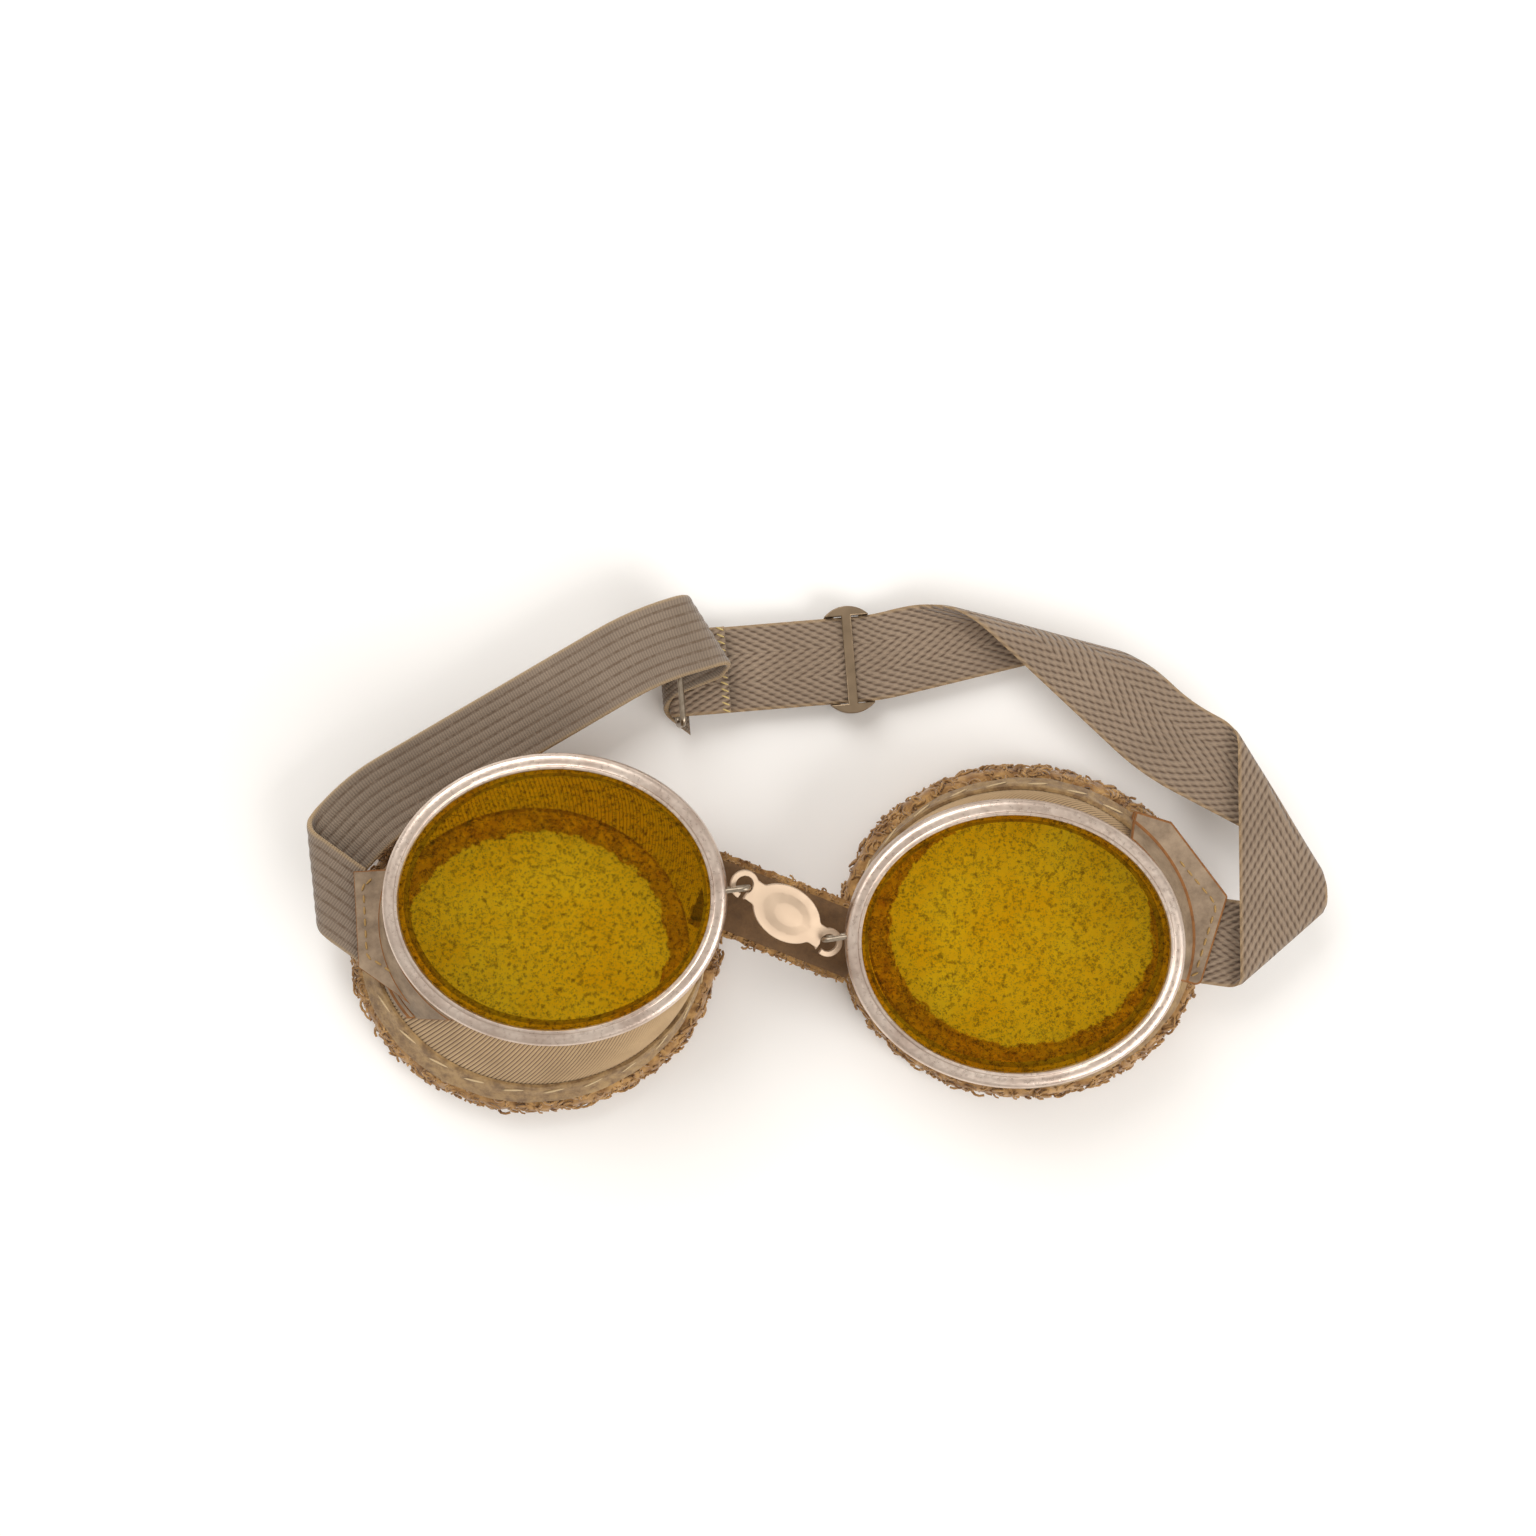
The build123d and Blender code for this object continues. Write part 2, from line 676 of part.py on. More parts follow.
# The whole set is moved so that its box stands centred on the floor
box = Compound([piece.part for piece in pieces.values()]).bounding_box()
settle = Vector(-(box.min.X + box.max.X) / 2, -(box.min.Y + box.max.Y) / 2, -box.min.Z)
os.makedirs("parts", exist_ok=True)
for name, piece in pieces.items():
    settled = piece.part.moved(Location(settle))
    settled.label = name
    export_step(settled, f"parts/{name}.step")
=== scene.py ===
import math
import bmesh
import bpy
from mathutils import Matrix, Vector, noise


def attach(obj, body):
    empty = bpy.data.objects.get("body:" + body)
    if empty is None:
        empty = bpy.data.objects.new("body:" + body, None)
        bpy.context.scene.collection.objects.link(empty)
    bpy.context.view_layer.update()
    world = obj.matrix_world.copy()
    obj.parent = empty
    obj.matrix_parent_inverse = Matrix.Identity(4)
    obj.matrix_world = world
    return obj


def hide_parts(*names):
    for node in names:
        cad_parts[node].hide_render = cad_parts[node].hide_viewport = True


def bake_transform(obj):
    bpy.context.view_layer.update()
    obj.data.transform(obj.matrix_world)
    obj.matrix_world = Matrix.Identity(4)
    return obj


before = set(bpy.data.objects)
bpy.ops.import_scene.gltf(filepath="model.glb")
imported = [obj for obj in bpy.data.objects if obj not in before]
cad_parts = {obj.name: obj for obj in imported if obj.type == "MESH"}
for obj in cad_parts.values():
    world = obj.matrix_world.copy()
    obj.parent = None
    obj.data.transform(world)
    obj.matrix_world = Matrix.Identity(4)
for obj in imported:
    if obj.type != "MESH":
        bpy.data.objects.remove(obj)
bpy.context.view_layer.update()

# Floor, light and camera. The goggles lie lenses up on a pale table in soft daylight, and are
# seen from straight above at arm's length. MM turns millimetres into metres.
MM = 0.001


def srgb(code):
    """A hex colour as linear RGBA."""
    parts = [int(code[i:i + 2], 16) / 255 for i in (1, 3, 5)]
    return [c / 12.92 if c <= 0.04045 else ((c + 0.055) / 1.055) ** 2.4 for c in parts] + [1.0]


def fill(tree, node, inputs):
    """Each of a node's inputs gets a value, or another node's output."""
    for key, value in inputs.items():
        if isinstance(value, bpy.types.NodeSocket):
            tree.links.new(value, node.inputs[key])
        else:
            node.inputs[key].default_value = value


def add(tree, kind, inputs=None, **settings):
    """Adds a node with its settings and its inputs."""
    made = tree.nodes.new(kind)
    for key, value in settings.items():
        setattr(made, key, value)
    fill(tree, made, inputs or {})
    return made


def new_material(name):
    """A material with its tree, its Principled shader and the place on the object."""
    material = bpy.data.materials.new(name)
    material.use_nodes = True
    tree = material.node_tree
    place = add(tree, "ShaderNodeTexCoord").outputs["Object"]
    return material, tree, tree.nodes["Principled BSDF"], place


scene = bpy.context.scene
scene.view_settings.view_transform = "Standard"
world = bpy.data.worlds.new("daylight")
scene.world = world
world.use_nodes = True
# The sky lights the goggles at daylight_strength, and itself looks plain white.
daylight_strength = 0.62
tree = world.node_tree
seen = add(tree, "ShaderNodeLightPath").outputs["Is Camera Ray"]
glow = add(tree, "ShaderNodeMapRange", {0: seen, 3: daylight_strength, 4: 1.0})
fill(tree, tree.nodes["Background"], {"Color": srgb("#fffaf4"), "Strength": glow.outputs[0]})

# Matt paint: no gloss, only the goggles' soft shadow. It fades to plain white far away, and
# glows a little through the lenses, which shade it.
far_glow, glass_glow = 0.5, 0.13
table_top, tree, shader, place = new_material("matt white table top")
spot = add(tree, "ShaderNodeVectorMath", {0: place}, operation="LENGTH")
far = add(tree, "ShaderNodeMapRange", {0: spot.outputs["Value"], 1: 0.2, 2: 0.9, 3: 0.0, 4: far_glow})
ray = add(tree, "ShaderNodeLightPath")
plain = add(tree, "ShaderNodeMath", {0: far.outputs[0], 1: ray.outputs["Is Camera Ray"]}, operation="MULTIPLY")
glow = add(tree, "ShaderNodeMath", {
    0: ray.outputs["Is Transmission Ray"], 1: glass_glow, 2: plain.outputs[0]}, operation="MULTIPLY_ADD")
fill(tree, shader, {
    "Base Color": srgb("#f6f4f1"), "Roughness": 0.8,
    "Emission Color": srgb("#ffffff"), "Emission Strength": glow.outputs[0]})
floor_mesh = bpy.data.meshes.new("floor")
floor_mesh.from_pydata([(-2, -2, 0), (2, -2, 0), (2, 2, 0), (-2, 2, 0)], [], [(0, 1, 2, 3)])
floor_mesh.materials.append(table_top)
floor = bpy.data.objects.new("floor", floor_mesh)
scene.collection.objects.link(floor)

for name, place, size, power in (
    ("window light", (-0.35, 0.6, 0.75), 0.7, 6.0),
    ("side light", (0.55, -0.45, 0.6), 0.6, 5.0),
):
    lamp_data = bpy.data.lights.new(name, "AREA")
    lamp_data.size = size
    lamp_data.energy = power
    lamp = bpy.data.objects.new(name, lamp_data)
    lamp.location = place
    lamp.rotation_euler = (-Vector(place)).to_track_quat("-Z", "Y").to_euler()
    scene.collection.objects.link(lamp)

camera_data = bpy.data.cameras.new("camera")
camera_data.lens = 53.2
camera_data.sensor_width = 36
camera_data.clip_start = 0.01
camera = bpy.data.objects.new("camera", camera_data)
camera.location = (-0.00988, 0.01766, 0.470)
scene.collection.objects.link(camera)
scene.camera = camera

# Metal rims. Each is one spun band of aluminium with a rounded shoulder, a skirt that grips
# the cloth wall, and a thin bead round the opening that holds the lens.
# A cup has its rim's middle and top, its turn in plan, its foot's shift from there and the
# bearing of its strap tab.
cups = {
    "left": {"middle": Vector((-50.919, -7.611, 0)), "top": 35.0, "turn": 2.2,
             "shift": Vector((-6.6, -11.0, 0)), "tab_side": 183.0},
    "right": {"middle": Vector((38.358, -16.580, 0)), "top": 29.0, "turn": -2.6,
              "shift": Vector((3.6, 0.8, 0)), "tab_side": -17.0},
}
rim_opening = (30.0, 25.0)
ring_steps = 192


def oval_row(middle, turn, semi, z, steps=ring_steps, start=0.0):
    """Points round an oval, in millimetres."""
    spin = Matrix.Rotation(math.radians(turn), 3, "Z")
    row = []
    for i in range(steps):
        a = start + 2 * math.pi * i / steps
        out = Vector((semi[0] * math.cos(a), semi[1] * math.sin(a), 0))
        row.append(spin @ out + Vector((middle[0], middle[1], z)))
    return row


def crisp(shape, steep=0.6):
    """Smooth faces, with the edges between steep faces kept sharp."""
    for face in shape.faces:
        face.smooth = True
    for edge in shape.edges:
        edge.smooth = not (edge.is_manifold and edge.calc_face_angle() > steep)


def skin(name, rows, material, uv=None, closed=False):
    """A smooth mesh through rings of points in millimetres.

    Closed joins the last ring to the first, else both are filled; uv gives a point's own place.
    """
    count = len(rows[0])
    if closed:
        rows = rows + [rows[0]]
    faces = []
    for i in range(len(rows) - 1):
        for j in range(count):
            k = (j + 1) % count
            faces.append((i * count + j, i * count + k, (i + 1) * count + k, (i + 1) * count + j))
    mesh = bpy.data.meshes.new(name)
    mesh.from_pydata([point * MM for row in rows for point in row], [], faces)
    if uv:
        layer = mesh.uv_layers.new(name="UVMap")
        for f, polygon in enumerate(mesh.polygons):
            i, j = divmod(f, count)
            for loop, (r, c) in zip(polygon.loop_indices, ((i, j), (i, j + 1), (i + 1, j + 1), (i + 1, j))):
                layer.data[loop].uv = uv(r, c)
    mesh.materials.append(material)
    made = bpy.data.objects.new(name, mesh)
    scene.collection.objects.link(made)
    shape = bmesh.new()
    shape.from_mesh(mesh)
    bmesh.ops.remove_doubles(shape, verts=shape.verts, dist=1e-6)
    if not closed:
        bmesh.ops.holes_fill(shape, edges=[e for e in shape.edges if e.is_boundary])
    bmesh.ops.recalc_face_normals(shape, faces=shape.faces)
    crisp(shape)
    shape.to_mesh(mesh)
    shape.free()
    return made


# Spun aluminium, handled for years, shows a soft bright gleam round each curve, grey stains
# and fine scuffs.
rim_metal, tree, shader, place = new_material("spun aluminium, worn satin")
stain = add(tree, "ShaderNodeTexNoise", {"Vector": place, "Scale": 150.0, "Detail": 5.0, "Roughness": 0.6})
grime = add(tree, "ShaderNodeMapRange", {0: stain.outputs[0], 1: 0.3, 2: 0.7})
tone = add(tree, "ShaderNodeMix", {
    0: grime.outputs[0], 6: srgb("#c0ab9c"), 7: srgb("#e2d2c4")}, data_type="RGBA")
scuff = add(tree, "ShaderNodeTexNoise", {"Vector": place, "Scale": 1400.0, "Detail": 3.0})
matt = add(tree, "ShaderNodeMapRange", {0: scuff.outputs[0], 1: 0.3, 2: 0.7, 3: 0.24, 4: 0.46})
relief = add(tree, "ShaderNodeBump", {"Height": scuff.outputs[0], "Strength": 0.10, "Distance": 0.0003})
fill(tree, shader, {
    "Base Color": tone.outputs[2], "Roughness": matt.outputs[0], "Normal": relief.outputs[0], "Metallic": 1.0})

# Out from the opening and up from the cup's top.
rim_profile = [
    (0.0, -1.1), (0.0, 0.12), (0.12, 0.30), (0.4, 0.35), (0.68, 0.28), (0.8, 0.02), (0.95, -0.06),
    (1.5, 0.0), (2.1, -0.02), (2.55, -0.14), (2.9, -0.42), (3.1, -0.8), (3.2, -1.3),
    (3.2, -6.3), (3.1, -6.65), (2.85, -6.8), (1.1, -6.8), (1.1, -1.2),
]
for side, cup in cups.items():
    rows = [
        oval_row(cup["middle"], cup["turn"], (rim_opening[0] + out, rim_opening[1] + out), cup["top"] + up)
        for out, up in rim_profile
    ]
    rim = skin(f"{side}_rim_band", rows, rim_metal, closed=True)
    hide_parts(f"{side}_rim")
    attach(rim, f"{side}_cup")

# Lenses. Flat amber glass, cut to an oval, with a ground edge that the bead hides.
# Glass coloured all through is clear and deep yellow, with a sharp gloss. Haze clouds it in
# patches, and dust lies on it in specks drawn coarse enough to show.
amber_glass, tree, shader, place = new_material("amber glass, hazed")
cloud = add(tree, "ShaderNodeTexNoise", {"Vector": place, "Scale": 70.0, "Detail": 6.0, "Roughness": 0.6})
fade = add(tree, "ShaderNodeMapRange", {0: cloud.outputs[0], 1: 0.35, 2: 0.65})
amber = add(tree, "ShaderNodeMix", {
    0: fade.outputs[0], 6: srgb("#fbce16"), 7: srgb("#ffe434")}, data_type="RGBA")
dust = add(tree, "ShaderNodeTexNoise", {"Vector": place, "Scale": 1100.0, "Detail": 6.0, "Roughness": 0.75})
speck = add(tree, "ShaderNodeMapRange", {0: dust.outputs[0], 1: 0.52, 2: 0.6, 3: 0.0, 4: 0.9})
tone = add(tree, "ShaderNodeMix", {
    0: speck.outputs[0], 6: amber.outputs[2], 7: srgb("#7a5c10")}, data_type="RGBA")
haze = add(tree, "ShaderNodeMapRange", {0: cloud.outputs[0], 1: 0.3, 2: 0.7, 3: 0.02, 4: 0.10})
fill(tree, shader, {
    "Base Color": tone.outputs[2], "Roughness": haze.outputs[0], "Specular Tint": srgb("#f2c848"),
    "Transmission Weight": 1.0, "IOR": 1.5})
lens_oval = (31.0, 26.0)
# In from the oval and down from the cup's top.
lens_profile = [(0.3, 1.2), (0.0, 1.5), (0.0, 2.7), (0.3, 3.0)]
for side, cup in cups.items():
    rows = [
        oval_row(cup["middle"], cup["turn"], (lens_oval[0] - inset, lens_oval[1] - inset), cup["top"] - drop)
        for inset, drop in lens_profile
    ]
    lens = skin(f"{side}_amber_lens", rows, amber_glass)
    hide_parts(f"{side}_lens")
    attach(lens, f"{side}_cup")

# Gaskets, clamp rings and wire loops keep the shapes of the frame: a buff rubber ring and a
# steel ring inside each cup, and a bent steel wire from each rim through the bridge plate.
# Moulded rubber is matt with a faint grain.
gasket_rubber, tree, shader = new_material("buff gasket rubber")[:3]
grain = add(tree, "ShaderNodeTexNoise", {"Scale": 900.0})
relief = add(tree, "ShaderNodeBump", {"Height": grain.outputs[0], "Strength": 0.2, "Distance": 0.0002})
fill(tree, shader, {"Base Color": srgb("#d8be8c"), "Normal": relief.outputs[0], "Roughness": 0.7})
# Drawn wire has a narrow bright streak along it, here dulled by dark spots.
steel_wire, tree, shader, place = new_material("drawn steel wire, dulled")
spots = add(tree, "ShaderNodeTexNoise", {"Vector": place, "Scale": 700.0, "Detail": 4.0})
tone = add(tree, "ShaderNodeMix", {
    0: spots.outputs[0], 6: srgb("#6d5f50"), 7: srgb("#b9ab98")}, data_type="RGBA")
fill(tree, shader, {"Base Color": tone.outputs[2], "Metallic": 1.0, "Roughness": 0.34})
for side in cups:
    for node_name, finish in (("gasket", gasket_rubber), ("clamp_ring", steel_wire), ("wire_loop", steel_wire)):
        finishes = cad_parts[f"{side}_{node_name}"].data.materials
        finishes.clear()
        finishes.append(finish)

# Cloth walls. Each is a leaning tube of khaki rep, pinched under the rim and sewn to the band
# at its foot. Its cords run from the rim down to the pad.
wall_foot = 10.1
foot_oval = (33.0, 29.5)
neck_oval = (31.0, 26.0)
neck_drop = 6.9
wall_belly = 1.1
wall_tuck = 0.6
wall_levels = 15
cloth_thickness = 1.3
cord_columns = 4
wall_steps = 236 * cord_columns
cord_height, cord_inset, cord_swirl = 0.16, 0.2, 0.24
levels_per_v = 4


def wall_row(cup, z, extra, steps, swirl=0.0):
    """Points round the leaning wall at a height.

    The wall bellies out between its ends, but not where a tab is sewn on.
    """
    neck = cup["top"] - neck_drop
    share = min(max((z - wall_foot) / (neck - wall_foot), 0), 1)
    semi = [foot + (narrow - foot) * share + extra for foot, narrow in zip(foot_oval, neck_oval)]
    centre = cup["middle"] + cup["shift"] * (1 - share)
    row = oval_row(centre, cup["turn"], semi, z, steps, swirl)
    for i, point in enumerate(row):
        away = Vector((point.x - centre.x, point.y - centre.y, 0)).normalized()
        towards = math.cos(math.atan2(away.y, away.x) - math.radians(cup["tab_side"]))
        held = min(1, 1.3 * max(0, towards) ** 1.5)  # 1 at the tab
        row[i] = point + away * (wall_belly * math.sin(math.pi * share) * (1 - held))
    return row


# Woven rep shows matt cords, drawn a little wider apart than the real 0.65 mm so that they
# show, with painted shade in the furrows between them. The lining inside is painted paler, as
# painted light for the dimly lit inside of the cup.
ribbed_cloth, tree, shader, place = new_material("corded khaki rep")
map_uv = add(tree, "ShaderNodeUVMap", uv_map="UVMap")
split = add(tree, "ShaderNodeSeparateXYZ", {0: map_uv.outputs[0]})
phase = add(tree, "ShaderNodeMath", {0: split.outputs[0], 1: 2 * math.pi}, operation="MULTIPLY")
wave = add(tree, "ShaderNodeMath", {0: phase.outputs[0]}, operation="COSINE")
crest = add(tree, "ShaderNodeMapRange", {0: wave.outputs[0], 1: -0.95, 2: -0.35})
fade = add(tree, "ShaderNodeTexNoise", {"Vector": place, "Scale": 120.0, "Detail": 5.0})
worn = add(tree, "ShaderNodeMix", {
    0: fade.outputs[0], 6: srgb("#a58862"), 7: srgb("#c9ab82")}, data_type="RGBA")
# Painted shade: the furrows between the cords take the dark colour.
tone = add(tree, "ShaderNodeMix", {
    0: crest.outputs[0], 6: srgb("#6b5238"), 7: worn.outputs[2]}, data_type="RGBA")
# Painted light: the lining is a paler copy of the cloth, with its own painted shade in the furrows.
lit_lining_tone = add(tree, "ShaderNodeMix", {
    0: crest.outputs[0], 6: srgb("#bc9a64"), 7: srgb("#fbecc8")}, data_type="RGBA")
inside = add(tree, "ShaderNodeMapRange", {
    0: split.outputs[1], 1: (wall_levels - 0.8) / levels_per_v, 2: (wall_levels - 0.2) / levels_per_v})
tone = add(tree, "ShaderNodeMix", {
    0: inside.outputs[0], 6: tone.outputs[2], 7: lit_lining_tone.outputs[2]}, data_type="RGBA")
thread = add(tree, "ShaderNodeTexNoise", {"Vector": place, "Scale": 2600.0, "Detail": 2.0})
relief = add(tree, "ShaderNodeBump", {"Height": thread.outputs[0], "Strength": 0.35, "Distance": 0.0003})
fill(tree, shader, {
    "Base Color": tone.outputs[2], "Normal": relief.outputs[0], "Roughness": 0.85, "Sheen Weight": 0.15})
for side, cup in cups.items():
    top = cup["top"] - neck_drop + wall_tuck
    outer, inner = [], []
    for i in range(wall_levels):
        share = i / (wall_levels - 1)
        row = wall_row(cup, wall_foot + (top - wall_foot) * share, 0, wall_steps, cord_swirl * share)
        middle = sum(row, Vector()) / wall_steps
        cords, lining = [], []
        for j, point in enumerate(row):
            away = Vector((point.x - middle.x, point.y - middle.y, 0)).normalized()
            cord = cord_height * math.cos(2 * math.pi * j / cord_columns) if share > 0.05 else 0
            cords.append(point + away * (cord - cord_inset))
            lining.append(point - away * cloth_thickness)
        outer.append(cords)
        inner.append(lining)
    wall = skin(f"{side}_ribbed_wall", outer + inner[::-1], ribbed_cloth, closed=True,
                uv=lambda r, c: (c / cord_columns, r / levels_per_v))
    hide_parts(f"{side}_side_wall")
    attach(wall, f"{side}_cup")

# Leather band round each wall's foot: a strip of split leather with cut edges, sewn on by hand
# with long pale stitches near its upper edge.
# Split leather shows its fibres: a dull nap, flecked light and dark, with no gloss.
split_leather, tree, shader, place = new_material("split leather, napped")
nap = add(tree, "ShaderNodeTexNoise", {"Vector": place, "Scale": 420.0, "Detail": 8.0, "Roughness": 0.7})
patch = add(tree, "ShaderNodeTexNoise", {"Vector": place, "Scale": 60.0, "Detail": 4.0})
worn = add(tree, "ShaderNodeMix", {
    0: patch.outputs[0], 6: srgb("#8a6c45"), 7: srgb("#b3925f")}, data_type="RGBA")
fleck = add(tree, "ShaderNodeMapRange", {0: nap.outputs[0], 1: 0.38, 2: 0.6})
tone = add(tree, "ShaderNodeMix", {
    0: fleck.outputs[0], 6: srgb("#735634"), 7: worn.outputs[2]}, data_type="RGBA")
relief = add(tree, "ShaderNodeBump", {"Height": nap.outputs[0], "Strength": 0.4, "Distance": 0.0005})
fill(tree, shader, {
    "Base Color": tone.outputs[2], "Normal": relief.outputs[0], "Roughness": 0.9, "Sheen Weight": 0.3})
# A cut edge is bare fibre: rough, and a warmer orange-brown than the face.
raw_edge, tree, shader, place = new_material("raw leather edge")
fray = add(tree, "ShaderNodeTexNoise", {"Vector": place, "Scale": 700.0, "Detail": 6.0})
tone = add(tree, "ShaderNodeMix", {
    0: fray.outputs[0], 6: srgb("#55300f"), 7: srgb("#a06a34")}, data_type="RGBA")
relief = add(tree, "ShaderNodeBump", {"Height": fray.outputs[0], "Strength": 0.7, "Distance": 0.0005})
fill(tree, shader, {"Base Color": tone.outputs[2], "Normal": relief.outputs[0], "Roughness": 0.85})

# Out from the wall and up from the table.
band_profile = [
    (0.0, 13.5), (0.6, 13.6), (0.95, 13.2), (1.1, 12.4), (1.4, 11.4),
    (1.9, 10.6), (2.0, 10.15), (1.6, 9.95), (0.2, 10.15),
]
for side, cup in cups.items():
    rows = []
    for extra, z in band_profile:
        row = wall_row(cup, max(z, wall_foot), extra, ring_steps)
        middle = sum(row, Vector()) / ring_steps
        for j, point in enumerate(row):
            away = Vector((point.x - middle.x, point.y - middle.y, 0)).normalized()
            ripple = noise.noise(Vector((j * 0.21, z * 0.2, cup["top"]))) if extra > 0.5 else 0
            rise = 0.3 * ripple if z > 13.4 else 0
            row[j] = Vector((point.x, point.y, z)) + away * 0.25 * ripple + Vector((0, 0, rise))
        rows.append(row)
    band = skin(f"{side}_leather_band", rows, split_leather, closed=True)
    band.data.materials.append(raw_edge)
    for polygon in band.data.polygons:
        if polygon.normal.z < -0.3:
            polygon.material_index = 1
    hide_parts(f"{side}_base_band")
    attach(band, f"{side}_cup")

# Stitches. Each is a short spindle of thread. One tree walks along a seam, lays one at each
# step and turns it along the seam. Twisted thread has a fine ripple and a slight gloss.
threads = {}
for thread_name, colour in (
    ("pale linen thread", "#cdb48a"), ("ochre waxed thread", "#a5824a"), ("yellow thread", "#cbb273"),
):
    threads[thread_name], tree, shader = new_material(thread_name)[:3]
    twist = add(tree, "ShaderNodeTexNoise", {"Scale": 1800.0})
    relief = add(tree, "ShaderNodeBump", {"Height": twist.outputs[0], "Strength": 0.4, "Distance": 0.0002})
    fill(tree, shader, {"Base Color": srgb(colour), "Normal": relief.outputs[0], "Roughness": 0.6})


def shape_tree(name, inputs):
    """A Geometry Nodes tree, the identifiers of its inputs, and its two end nodes."""
    tree = bpy.data.node_groups.new(name, "GeometryNodeTree")
    tree.interface.new_socket("Geometry", in_out="OUTPUT", socket_type="NodeSocketGeometry")
    tree.interface.new_socket("Geometry", in_out="INPUT", socket_type="NodeSocketGeometry")
    names = {}
    for key, value in inputs.items():
        kind = "NodeSocketMaterial" if value is None else "NodeSocketFloat"
        socket = tree.interface.new_socket(key, in_out="INPUT", socket_type=kind)
        if value is not None:
            socket.default_value = value
        names[key] = socket.identifier
    return tree, names, add(tree, "NodeGroupInput"), add(tree, "NodeGroupOutput")


seam_tree, seam_inputs, group_in, group_out = shape_tree("running stitch", {
    "Pitch": 0.002, "Stitch Length": 0.0016, "Thread Radius": 0.0003, "Slant": 0.0, "Thread": None})
walk = add(seam_tree, "GeometryNodeResampleCurve", {
    "Curve": group_in.outputs["Geometry"], "Length": group_in.outputs["Pitch"]}, mode="LENGTH")
heading = add(seam_tree, "GeometryNodeInputTangent")
level = add(seam_tree, "FunctionNodeAlignRotationToVector", {"Vector": heading.outputs[0]}, axis="X")
slant = add(seam_tree, "ShaderNodeCombineXYZ", {2: group_in.outputs["Slant"]})
lean = add(seam_tree, "FunctionNodeEulerToRotation", {0: slant.outputs[0]})
turned = add(seam_tree, "FunctionNodeRotateRotation", {
    0: level.outputs[0], 1: lean.outputs[0]}, rotation_space="LOCAL")
half = add(seam_tree, "ShaderNodeMath", {0: group_in.outputs["Stitch Length"], 1: 0.5}, operation="MULTIPLY")
thick = group_in.outputs["Thread Radius"]
size = add(seam_tree, "ShaderNodeCombineXYZ", {0: half.outputs[0], 1: thick, 2: thick})
spindle = add(seam_tree, "GeometryNodeMeshUVSphere", {"Segments": 8, "Rings": 6, "Radius": 1.0})
soft = add(seam_tree, "GeometryNodeSetShadeSmooth", {0: spindle.outputs[0]})
laid = add(seam_tree, "GeometryNodeInstanceOnPoints", {
    "Points": walk.outputs[0], "Instance": soft.outputs[0],
    "Rotation": turned.outputs[0], "Scale": size.outputs[0]})
real = add(seam_tree, "GeometryNodeRealizeInstances", {0: laid.outputs[0]})
dressed = add(seam_tree, "GeometryNodeSetMaterial", {
    0: real.outputs[0], "Material": group_in.outputs["Thread"]})
seam_tree.links.new(dressed.outputs[0], group_out.inputs[0])


def plain_mesh(source, name, tree, names, values):
    """What a tree makes of an object, as a plain mesh object; the first object is removed."""
    making = source.modifiers.new(tree.name, "NODES")
    making.node_group = tree
    for key, value in values.items():
        making[names[key]] = value
    bpy.context.view_layer.update()
    graph = bpy.context.evaluated_depsgraph_get()
    mesh = bpy.data.meshes.new_from_object(source.evaluated_get(graph), depsgraph=graph)
    mesh.name = name
    bpy.data.objects.remove(source)
    made = bpy.data.objects.new(name, mesh)
    scene.collection.objects.link(made)
    return made


def sew(name, points, body, thread, pitch, length, radius, slant=0.0, closed=False):
    """A row of stitches along points in millimetres; pitch, length and radius are in metres."""
    line = bpy.data.curves.new(name + "_line", "CURVE")
    line.dimensions = "3D"
    spline = line.splines.new("POLY")
    spline.points.add(len(points) - 1)
    for knot, point in zip(spline.points, points):
        knot.co = (*(point * MM), 1)
    spline.use_cyclic_u = closed
    path = bpy.data.objects.new(name + "_line", line)
    scene.collection.objects.link(path)
    made = plain_mesh(path, name, seam_tree, seam_inputs, {
        "Pitch": pitch, "Stitch Length": length, "Thread Radius": radius, "Slant": slant,
        "Thread": threads[thread]})
    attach(made, body)


for side, cup in cups.items():
    seam = wall_row(cup, z=12.9, extra=1.15, steps=96)
    sew(f"{side}_band_stitches", seam, f"{side}_cup", "pale linen thread",
        pitch=0.0083, length=0.0046, radius=0.00022, slant=0.12, closed=True)

# Face pads. Each is a padded ring covered in golden-brown chenille, sewn under the wall's foot:
# a lumpy cushion with thousands of short soft loops of pile standing out of it.
def chenille_pile(name, root, brown, gold):
    """Chenille with painted shade in patches for its loops' roots, changing from brown to gold from place to
    place.
    """
    material, tree, shader, place = new_material(name)
    pile_shade_noise = add(tree, "ShaderNodeTexNoise", {"Vector": place, "Scale": 330.0, "Detail": 6.0, "Roughness": 0.7})
    zone = add(tree, "ShaderNodeTexNoise", {"Vector": place, "Scale": 55.0, "Detail": 3.0})
    warm = add(tree, "ShaderNodeMix", {0: zone.outputs[0], 6: srgb(brown), 7: srgb(gold)}, data_type="RGBA")
    # Painted shade: the root colour is laid in patches for the shade among the loops' roots.
    lift = add(tree, "ShaderNodeMapRange", {0: pile_shade_noise.outputs[0], 1: 0.36, 2: 0.64})
    tone = add(tree, "ShaderNodeMix", {0: lift.outputs[0], 6: srgb(root), 7: warm.outputs[2]}, data_type="RGBA")
    fill(tree, shader, {"Base Color": tone.outputs[2], "Roughness": 0.95, "Sheen Weight": 0.4})
    return material


